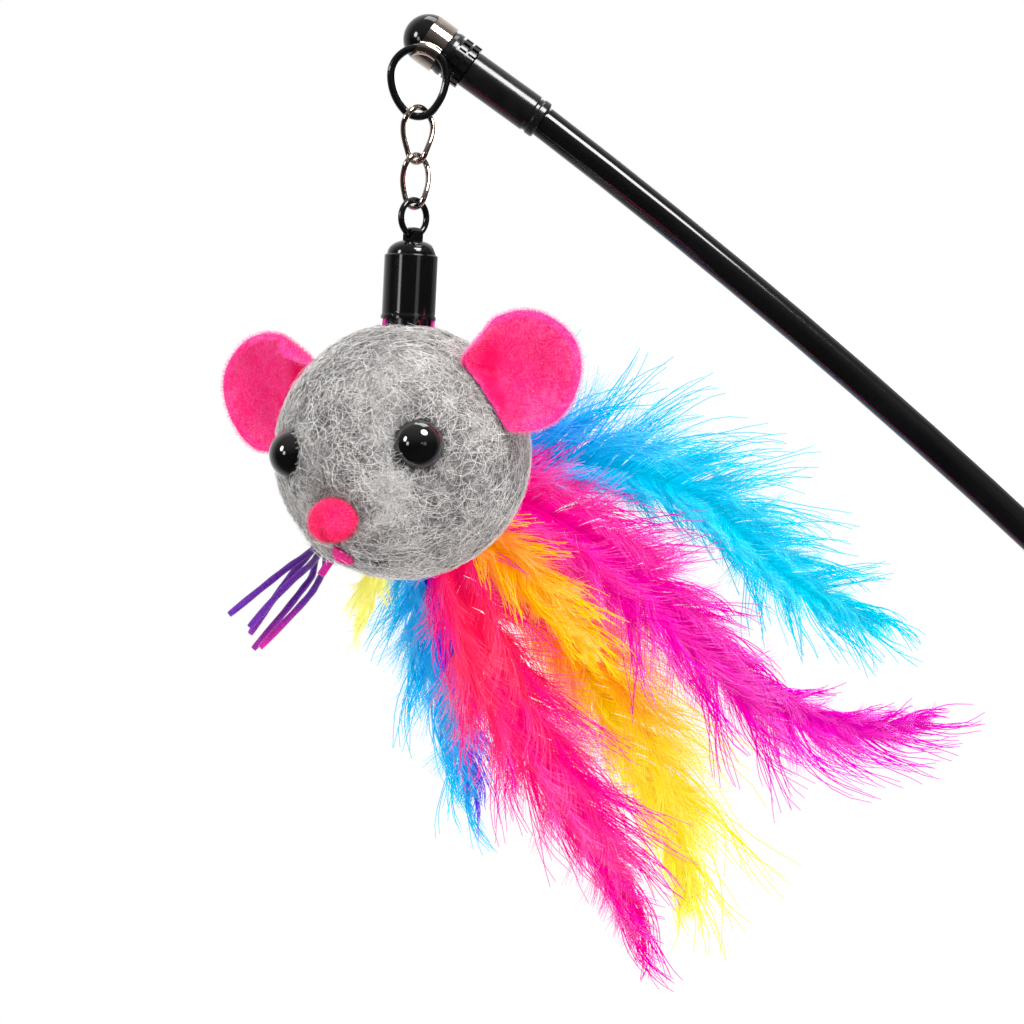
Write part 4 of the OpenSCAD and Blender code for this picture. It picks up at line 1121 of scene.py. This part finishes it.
class WAND_OT_feathers(bpy.types.Operator):
    """Seven dyed feathers behind the head"""
    bl_idname = "wand.feathers"
    bl_label = "Feathers"

    def execute(self, context):
        look = context.scene.wand_plumes
        tree = plume_tree()
        keep = ("along", "out", "side", "own")
        for index, plume in enumerate(PLUMES):
            name, long = plume["name"], plume["length"]
            strong = plume_finish(f"barbs_{name}", plume["dye"], plume.get("fringe"), plume.get("tip"))
            soft = plume_finish(f"down_{name}", plume["dye"], plume.get("fringe"), down=0.03)
            source = shaft_mesh(index, plume)
            common = {"Shaft Length": long * MM, "Forward": 0.34}
            barbs = run_tree(tree, "barbs", source.copy(), {
                **common, "Count": int(look.barbs * plume["barbs"] * fewer() * (0.4 + 0.6 * long / 90)),
                "Steps": 9, "Reach": 1.0, "Spread": 0.30, "Clump": 0.9, "Groups": long * 0.16, "Ruffle": 0.28,
                "Radius": look.barb_radius, "Seed": 10 * index + 1, "Material": strong}, keep)
            down = run_tree(tree, "down", source.copy(), {
                **common, "Count": int(look.down * plume["down"] * fewer() * (0.3 + 0.7 * long / 90)),
                "Steps": 5, "Reach": 0.78, "Thin": 0.45, "Spread": 0.42, "Clump": 0.15, "Groups": long * 0.8,
                "Ruffle": 0.5, "Radius": look.down_radius, "Seed": 10 * index + 5, "Material": soft}, keep)
            verts, faces, along = sweep(shaft_path(index, long * MM), 8, shaft_radius)
            many = len(verts)
            spine = plain_mesh("spine", verts, faces, along=along, out=[0.0] * many, own=[0.15] * many,
                               side=[1.0] * many)
            mesh = join(f"plume_{name}", [barbs, down, spine], [strong, soft, strong], keep)
            piece = piece_of(f"plume_{name}", mesh, None, "mouse")
            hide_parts(f"feather_{name}")
        return {"FINISHED"}


def ear_frame(az, facing):
    """Places an ear: +Z is the way that its hollow faces."""
    place = on_face(az, EAR_RISE) @ Matrix.Translation((0, 0, HEAD_R + EAR_STAND)) @ turn("X", EAR_RISE - 90)
    return place @ turn("Z", facing - az) @ turn("X", 90)


def ear_profile(rounds):
    """Radii and heights from the middle of the ear's hollow, over its rim, to the middle of its back."""
    rim = EAR_T / 2
    flat = EAR_D / 2 - rim
    hollow_end, rim_end = 0.42, 0.66
    profile = []
    for k in range(rounds + 1):
        t = k / rounds
        if t < hollow_end:
            a = t / hollow_end * math.pi / 2
            profile.append((flat * math.sin(a), rim - 1.1 * MM * math.cos(a) ** 1.5))
        elif t < rim_end:
            a = math.pi * (t - hollow_end) / (rim_end - hollow_end)
            profile.append((flat + rim * math.sin(a), rim * math.cos(a)))
        else:
            profile.append((flat * (1 - (t - rim_end) / (1 - rim_end)), -rim))
    return profile


def ear_mesh(name, az, facing):
    """A padded round ear: a thick soft rim, a hollow with folds that run to where it is sewn on."""
    place = ear_frame(az, facing)
    sewn = place.inverted() @ HEAD_C
    root = math.atan2(sewn.y, sewn.x)
    heights = [(place @ Vector((math.cos(root + side), math.sin(root + side), 0))).z for side in (-1, 1)]
    upper = 1 if heights[1] > heights[0] else -1
    rounds, around = 48, 160
    start, bend, least = 0.60 * EAR_D / 2, EAR_BEND_R, HEAD_R + EAR_CLEAR
    verts, rows, painted_shade = [], [], []
    for k, (r, z) in enumerate(ear_profile(rounds)):
        front = k <= rounds * 0.5
        pole = r < 1e-6
        rows.append([len(verts) + (0 if pole else j) for j in range(around)])
        for j in range(1 if pole else around):
            a = 2 * math.pi * j / around
            off = math.atan2(math.sin(a - root), math.cos(a - root)) * upper
            wide = 1 + 0.012 * math.sin(3 * a + az) + 0.008 * math.sin(5 * a)
            share = r / (EAR_D / 2)
            fold = 0
            if front:
                for angle, depth, width in EAR_FOLDS:
                    fold += depth * closeness(off - angle, width) * min(1, max(0, share - 0.10) * 1.6)
                fold += 0.3 * closeness(share - 0.80, 0.035)
            flap = closeness(off - 1.25, 0.62)
            low = closeness(off + 1.2, 0.40)
            out = r * (1 + 0.20 * flap * max(0, share - 0.5))
            high = z - EAR_HOLLOW * (1 - share ** 2) - fold * MM
            if out > start and flap > 0.02:
                way = (out - start) / bend * flap * 1.1
                reach = (out - start) * (1 - flap) + flap * bend * math.sin(min(way, 2.2)) * 1.25
                high += flap * bend * (1 - math.cos(way)) * 1.25
                out = start + max(reach, 0.2 * MM)
            high += (2.2 * low * share ** 3 - 1.0 * closeness(off, 0.5) * share ** 2) * MM
            x, y = out * wide * math.cos(a), out * wide * math.sin(a)
            high += 0.15 * MM * noise.noise(Vector((x, y, z)) * 260)
            spot = place @ Vector((x, y, high))
            spoke = spot - HEAD_C
            verts.append(spot if spoke.length >= least else HEAD_C + spoke.normalized() * least)
            # Painted shade, kept as depth: under the curled flap, where the ear is sewn on, in the folds and
            # towards the middle, none on the rim or the back
            under = closeness(off - 1.0, 0.55) * closeness(share - 0.50, 0.20)
            sewn_in = closeness(off, 0.75) * closeness(share - 0.95, 0.55)
            shade = 0.9 * under + 0.8 * sewn_in + 0.3 * fold + 0.25 * (1 - share)
            painted_shade.append(min(0.9, shade) * (1 - closeness(share - 1.0, 0.10)) if front else 0.0)
    faces = []
    for inner, outer in zip(rows, rows[1:]):
        for j in range(around):
            n = (j + 1) % around
            faces.append(list(dict.fromkeys((inner[j], outer[j], outer[n], inner[n]))))
    return outward(plain_mesh(name, verts, faces, depth=painted_shade))


class WAND_OT_ears(bpy.types.Operator):
    """Two plush ears with folds and a pile"""
    bl_idname = "wand.ears"
    bl_label = "Ears"

    def execute(self, context):
        look = context.scene.wand_ears
        # The last colour of each finish is painted shade for the ear's hollows
        cloth = plush("ear_plush", (0.95, 0.06, 0.44), look.colour, (1.0, 0.42, 0.68), (0.88, 0.0, 0.36))
        hair = fibre_finish("ear_pile", (1.0, 0.20, 0.54), (1.0, 0.56, 0.78), (0.98, 0.02, 0.44), gloss=0.02,
                            sheen=0.0)
        for side, (az, facing) in EARS.items():
            mesh = ear_mesh(f"ear_{side}_plush", az, facing)
            ear = piece_of(f"ear_{side}_plush", mesh, cloth, "mouse")
            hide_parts(f"ear_{side}")
            fibres(f"ear_{side}_pile", mesh, hair, "plush_pink", look.pile_count * fewer(), Steps=3,
                   Length=look.pile_length, Stand=1.0, Lean=0.9, Radius=0.000035, Seed=51)
        return {"FINISHED"}


def lathe(name, place, profile, around, wave):
    """A closed ring turned from a closed profile of (radius, height), with a soft waviness."""
    verts = []
    for j in range(around):
        a = 2 * math.pi * j / around
        for r, z in profile:
            out = r + wave * noise.noise(Vector((math.cos(a), math.sin(a), z * 60)) * 3)
            verts.append(place @ Vector((out * math.cos(a), out * math.sin(a), z)))
    return outward(plain_mesh(name, verts, quads(around, len(profile), closed=True)))


def axis_of(node):
    """The place of a round node: +Z runs along it from its lower left end, and its length."""
    spots = np.array([tuple(v.co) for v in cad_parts[node].data.vertices])
    middle = (spots.min(axis=0) + spots.max(axis=0)) / 2
    way = Vector(np.linalg.eigh(np.cov((spots - spots.mean(axis=0)).T))[1][:, 2]).normalized()
    way = way if way.x > 0 else -way
    shares = (spots - middle) @ np.array(way)
    start = Vector(middle) + way * float(shares.min())
    length = float(shares.max() - shares.min())
    return Matrix.Translation(start) @ way.to_track_quat("Z", "Y").to_matrix().to_4x4(), length


class WAND_OT_soft_trims(bpy.types.Operator):
    """The foam grip, and the ribbon ends under the cap"""
    bl_idname = "wand.soft_trims"
    bl_label = "Grip and ribbon"

    def execute(self, context):
        place, length = axis_of("grip_sleeve")
        edge, out, bore, steps = GRIP_EDGE, GRIP_D / 2, CORE_D / 2, 60
        quarter = [math.pi / 2 * k / 6 for k in range(7)]
        profile = [(bore, 0), (bore, length)]
        profile += [(out - edge + edge * math.sin(a), length - edge + edge * math.cos(a)) for a in quarter]
        profile += [(out, length - edge - (length - 2 * edge) * k / steps) for k in range(1, steps)]
        profile += [(out - edge + edge * math.cos(a), edge - edge * math.sin(a)) for a in quarter]
        mesh = lathe("grip_foam", place, profile, 96, 0.06 * MM)
        grip = piece_of("grip_foam", mesh, foam("grip_foam"), "wand")
        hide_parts("grip_sleeve")
        dye = mottled("ribbon_dye", (0.70, 0.05, 0.50), (0.90, 0.10, 0.66), 0.0008, 0.6, 0.00005)
        ribbon = piece_of("ribbon_ends", self.ribbon(), dye, "mouse")
        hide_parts("ribbon_tabs")
        return {"FINISHED"}

    def ribbon(self):
        """Two short rippled strips that hang from inside the cap's lip, on both sides of it."""
        verts, faces = [], []
        across, down = 20, 8
        row, sheet = down + 1, (across + 1) * (down + 1)
        edges = [(i * row, (i + 1) * row) for i in range(across)]
        edges += [((i + 1) * row + down, i * row + down) for i in range(across)]
        edges += [(j + 1, j) for j in range(down)]
        edges += [(across * row + j, across * row + j + 1) for j in range(down)]
        for side in (0, math.pi):
            base = len(verts)
            for layer in (-1, 1):
                for i in range(across + 1):
                    for j in range(down + 1):
                        a = side + RIBBON_HALF_ANGLE * (2 * i / across - 1)
                        ripple = 0.12 * MM * math.sin(9 * i / across + side) * j / down
                        r = CAP_BORE_R + RIBBON_T / 2 * layer + ripple
                        hung = on_chain(CAP_BOTTOM + RIBBON_FALL * (j / down - 0.05))
                        verts.append(hung @ Vector((r * math.cos(a), r * math.sin(a), 0)))
            for i in range(across):
                for j in range(down):
                    a = base + i * row + j
                    faces.append((a, a + 1, a + row + 1, a + row))
                    faces.append((a + sheet, a + sheet + row, a + sheet + row + 1, a + sheet + 1))
            faces += [(base + a, base + b, base + b + sheet, base + a + sheet) for a, b in edges]
        return outward(plain_mesh("ribbon_ends", verts, faces))


class WAND_OT_face(bpy.types.Operator):
    """The felt nose and tongue, and the mouth's thread"""
    bl_idname = "wand.face"
    bl_label = "Nose, tongue and mouth"

    def execute(self, context):
        self.nose()
        self.mouth()
        self.tongue()
        # The pile's last colour is painted shade where the nose's depth is high
        hair = fibre_finish("nose_pile", (0.90, 0.06, 0.32), (1.0, 0.34, 0.54), (0.60, 0.0, 0.18))
        fibres("nose_pile", bpy.data.meshes["nose_felt"], hair, "felt_nose", 2600, Steps=3, Length=0.00045,
               Stand=1.0, Lean=1.0, Radius=0.00003, Seed=71)
        return {"FINISHED"}

    def nose(self):
        """A ball of felt with a crease down its front, with painted shade in the crease, below and on one side.
        """
        place = on_face(*NOSE_PLACE) @ Matrix.Translation((0, 0, HEAD_R + SNOUT_OUT + NOSE_OUT))
        made = bmesh.new()
        bmesh.ops.create_icosphere(made, subdivisions=5, radius=1.0)
        painted_shade = []
        for vert in made.verts:
            way = vert.co.copy()
            crease = 0.5 * MM * closeness(way.x, 0.09) * max(0, way.z) * (1 if way.y < 0.2 else 0.4)
            # Painted shade: darker towards the bottom and one side, as light falls from above, and in the
            # crease
            low = max(0, -way.y - 0.15) ** 1.5 + 0.5 * max(0, -way.x - 0.3) ** 1.5 + 1.2 * crease / MM
            painted_shade.append(min(0.9, 0.8 * low))
            out = 1 + 0.02 * noise.noise(way * 2.5)
            vert.co = place @ (way * NOSE_SIZE * out - way * crease)
        # The last colour is painted shade, for the crease and below
        cloth = plush("nose_felt", (0.80, 0.03, 0.26), (0.94, 0.08, 0.36), (1.0, 0.24, 0.48), (0.50, 0.0, 0.14))
        nose = piece_of("nose_felt", mesh_from(made, "nose_felt", depth=painted_shade), cloth, "mouse")
        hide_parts("nose")

    def mouth(self):
        """A dark thread that lies in the lip's crease."""
        path = []
        for k in range(33):
            across = MOUTH_FROM + (MOUTH_TO - MOUTH_FROM) * k / 32
            way = snout_place(lip_fall(across), across)
            path.append(HEAD_C + way * (head_radius(way) + (1.5 * cleft(way) + 0.35) * MM))

        def reach(t, a):
            return MOUTH_WIRE_R * (1 + 0.1 * math.cos(2 * a + 60 * t)) * (1 - 0.6 * t ** 3)

        verts, faces, along = sweep(path, 10, reach)
        thread = piece_of("mouth_line", plain_mesh("mouth_line", verts, faces, along=along),
                          thread_finish("mouth_thread", (0.16, 0.14, 0.15)), "mouse")
        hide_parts("mouth_stitch")

    def tongue(self):
        """A small drop of felt that hangs in the cleft under the nose."""
        way = snout_place(*TONGUE_PLACE)
        out = HEAD_R + SNOUT_OUT * closeness(degrees_between(way, NOSE_WAY), SNOUT_SPREAD)
        up = (-NOSE_DOWN + way * way.dot(NOSE_DOWN)).normalized()
        side = up.cross(way).normalized()
        centre = HEAD_C + way * (out + 0.75 * MM)
        made = bmesh.new()
        bmesh.ops.create_icosphere(made, subdivisions=4, radius=1.0)
        for vert in made.verts:
            x, y, z = vert.co
            wide = TONGUE_SIZE.x * (1 - 0.6 * max(0, y))
            fuzz = 1 + 0.04 * noise.noise(vert.co * 4)
            thick = z * TONGUE_SIZE.z - 0.5 * MM * y * y * (y < 0)
            vert.co = centre + (side * x * wide + up * y * TONGUE_SIZE.y + way * thick) * fuzz
        felt = mottled("tongue_felt", (0.66, 0.03, 0.36), (0.92, 0.12, 0.54), 0.0006, 0.9, 0.0002)
        tongue = piece_of("tongue_felt", mesh_from(made, "tongue_felt"), felt, "mouse")
        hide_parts("tongue")


class WAND_OT_links(bpy.types.Operator):
    """Two twisted chrome links of smooth wire"""
    bl_idname = "wand.links"
    bl_label = "Chain links"

    def execute(self, context):
        shiny = bpy.data.materials["warm_chrome"]
        for name, (top, top_r, low_r, high) in LINKS.items():
            place = on_chain(top + high / 2, LINK_TURN)
            path = []
            for k in range(150):
                p = loop_point(k / 150, top_r, low_r, high)
                t = 0.5 - p.y / high
                a = -math.pi / 2 * t * t * (3 - 2 * t)
                path.append(place @ Vector((p.x * math.cos(a), p.x * math.sin(a), p.y)))
            mesh = outward(plain_mesh(f"link_{name}_wire", *ring_tube(path, LINK_WIRE / 2, 24)))
            piece = piece_of(f"link_{name}_wire", mesh, shiny, name)
            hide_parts(f"link_{name}")
        return {"FINISHED"}


class WAND_OT_tassel(bpy.types.Operator):
    """Five purple cords, the wound knot that binds them, and the felt tab"""
    bl_idname = "wand.tassel"
    bl_label = "Tassel"

    def execute(self, context):
        violet = (0.40, 0.10, 0.64)
        ends = [violet, violet, (0.55, 0.12, 0.66), (0.62, 0.10, 0.62), (0.80, 0.08, 0.62)]

        def reach(t, a):
            return CORD_D / 2 * (1 + 0.05 * math.cos(2 * a + 46 * t)) * (1.0 if t < 0.985 else 0.85)

        for i, (route, end) in enumerate(zip(CORD_SHARES, ends)):
            path = smooth_path([HEAD_C + Vector(p) * HEAD_R for p in route], 36)
            length = sum((b - a).length for a, b in zip(path, path[1:]))
            verts, faces, along = sweep(path, 16, reach)
            name = f"tassel_cord_{i + 1}_thread"
            dye = thread_finish(f"cord_dye_{i + 1}", violet, end)
            cord = piece_of(name, plain_mesh(name, verts, faces, along=along), dye, "mouse")
            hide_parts(f"tassel_cord_{i + 1}")
        self.knot(thread_finish("knot_dye", violet))
        self.tab()
        return {"FINISHED"}

    def knot(self, dye):
        """Turns of the same cord, wound round the bundle."""
        start = HEAD_C + KNOT_SHARES * HEAD_R + Vector((0.3 * MM, 0, 0))
        length, wire = KNOT_LENGTH, KNOT_WIRE_R
        path = []
        for k in range(161):
            t = k / 160
            a = 2 * math.pi * KNOT_TURNS * t
            r = KNOT_R - wire - 0.25 * MM * abs(2 * t - 1) ** 4
            path.append(start + Vector((wire + (length - 2 * wire) * t, r * math.cos(a), r * math.sin(a))))
        verts, faces, along = sweep(path, 10, lambda t, a: wire)
        middle = [start + Vector((0.35 * MM + (length - 0.7 * MM) * t / 8, 0, 0)) for t in range(9)]
        core, core_faces, more = sweep(middle, 24, lambda t, a: KNOT_CORE_R)
        faces += [tuple(v + len(verts) for v in f) for f in core_faces]
        mesh = plain_mesh("tassel_knot", verts + core, faces, along=along + more)
        knot = piece_of("tassel_knot", mesh, dye, "mouse")
        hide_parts("tassel_binding")

    def tab(self):
        """A little felt tab that hangs under the chin: the solid with its edges rounded."""
        made = bmesh.new()
        made.from_mesh(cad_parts["tassel_tab"].data)
        bmesh.ops.remove_doubles(made, verts=made.verts, dist=0.00001)
        bmesh.ops.dissolve_limit(made, angle_limit=0.02, verts=made.verts, edges=made.edges)
        bmesh.ops.bevel(made, geom=made.edges[:], offset=0.0003, segments=3, affect="EDGES", profile=0.6)
        felt = mottled("tab_felt", (0.72, 0.04, 0.50), (0.92, 0.12, 0.66), 0.0006, 0.9, 0.0002)
        tab = piece_of("tassel_tab_felt", mesh_from(made, "tassel_tab_felt"), felt, "mouse")
        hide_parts("tassel_tab")


# In the order in which they run
PIECES = (WAND_OT_stage, WAND_OT_tassel, WAND_OT_hard_parts, WAND_OT_links, WAND_OT_head, WAND_OT_ears,
          WAND_OT_face, WAND_OT_soft_trims, WAND_OT_feathers)
GROUPS = {"wand_finish": WandFinish, "wand_head": HeadLook, "wand_ears": EarLook, "wand_plumes": PlumeLook,
          "wand_stage": StageLook}


class WAND_PT_panel(bpy.types.Panel):
    """Lists the wand's pieces and their sizes and colours"""
    bl_label = "Cat teaser wand"
    bl_idname = "WAND_PT_panel"
    bl_space_type = "VIEW_3D"
    bl_region_type = "UI"
    bl_category = "Wand"

    def draw(self, context):
        for group in GROUPS:
            look = getattr(context.scene, group)
            for name in look.bl_rna.properties.keys():
                if name not in ("rna_type", "name"):
                    self.layout.prop(look, name)
        for piece in PIECES:
            self.layout.operator(piece.bl_idname)


def register():
    for group, kind in GROUPS.items():
        bpy.utils.register_class(kind)
        setattr(bpy.types.Scene, group, PointerProperty(type=kind))
    for kind in (*PIECES, WAND_PT_panel):
        bpy.utils.register_class(kind)


def unregister():
    for kind in reversed((*PIECES, WAND_PT_panel)):
        bpy.utils.unregister_class(kind)
    for group, kind in GROUPS.items():
        delattr(bpy.types.Scene, group)
        bpy.utils.unregister_class(kind)


def main():
    register()
    for piece in PIECES:
        getattr(bpy.ops.wand, piece.bl_idname.split(".")[1])()


if __name__ == "__main__":
    main()
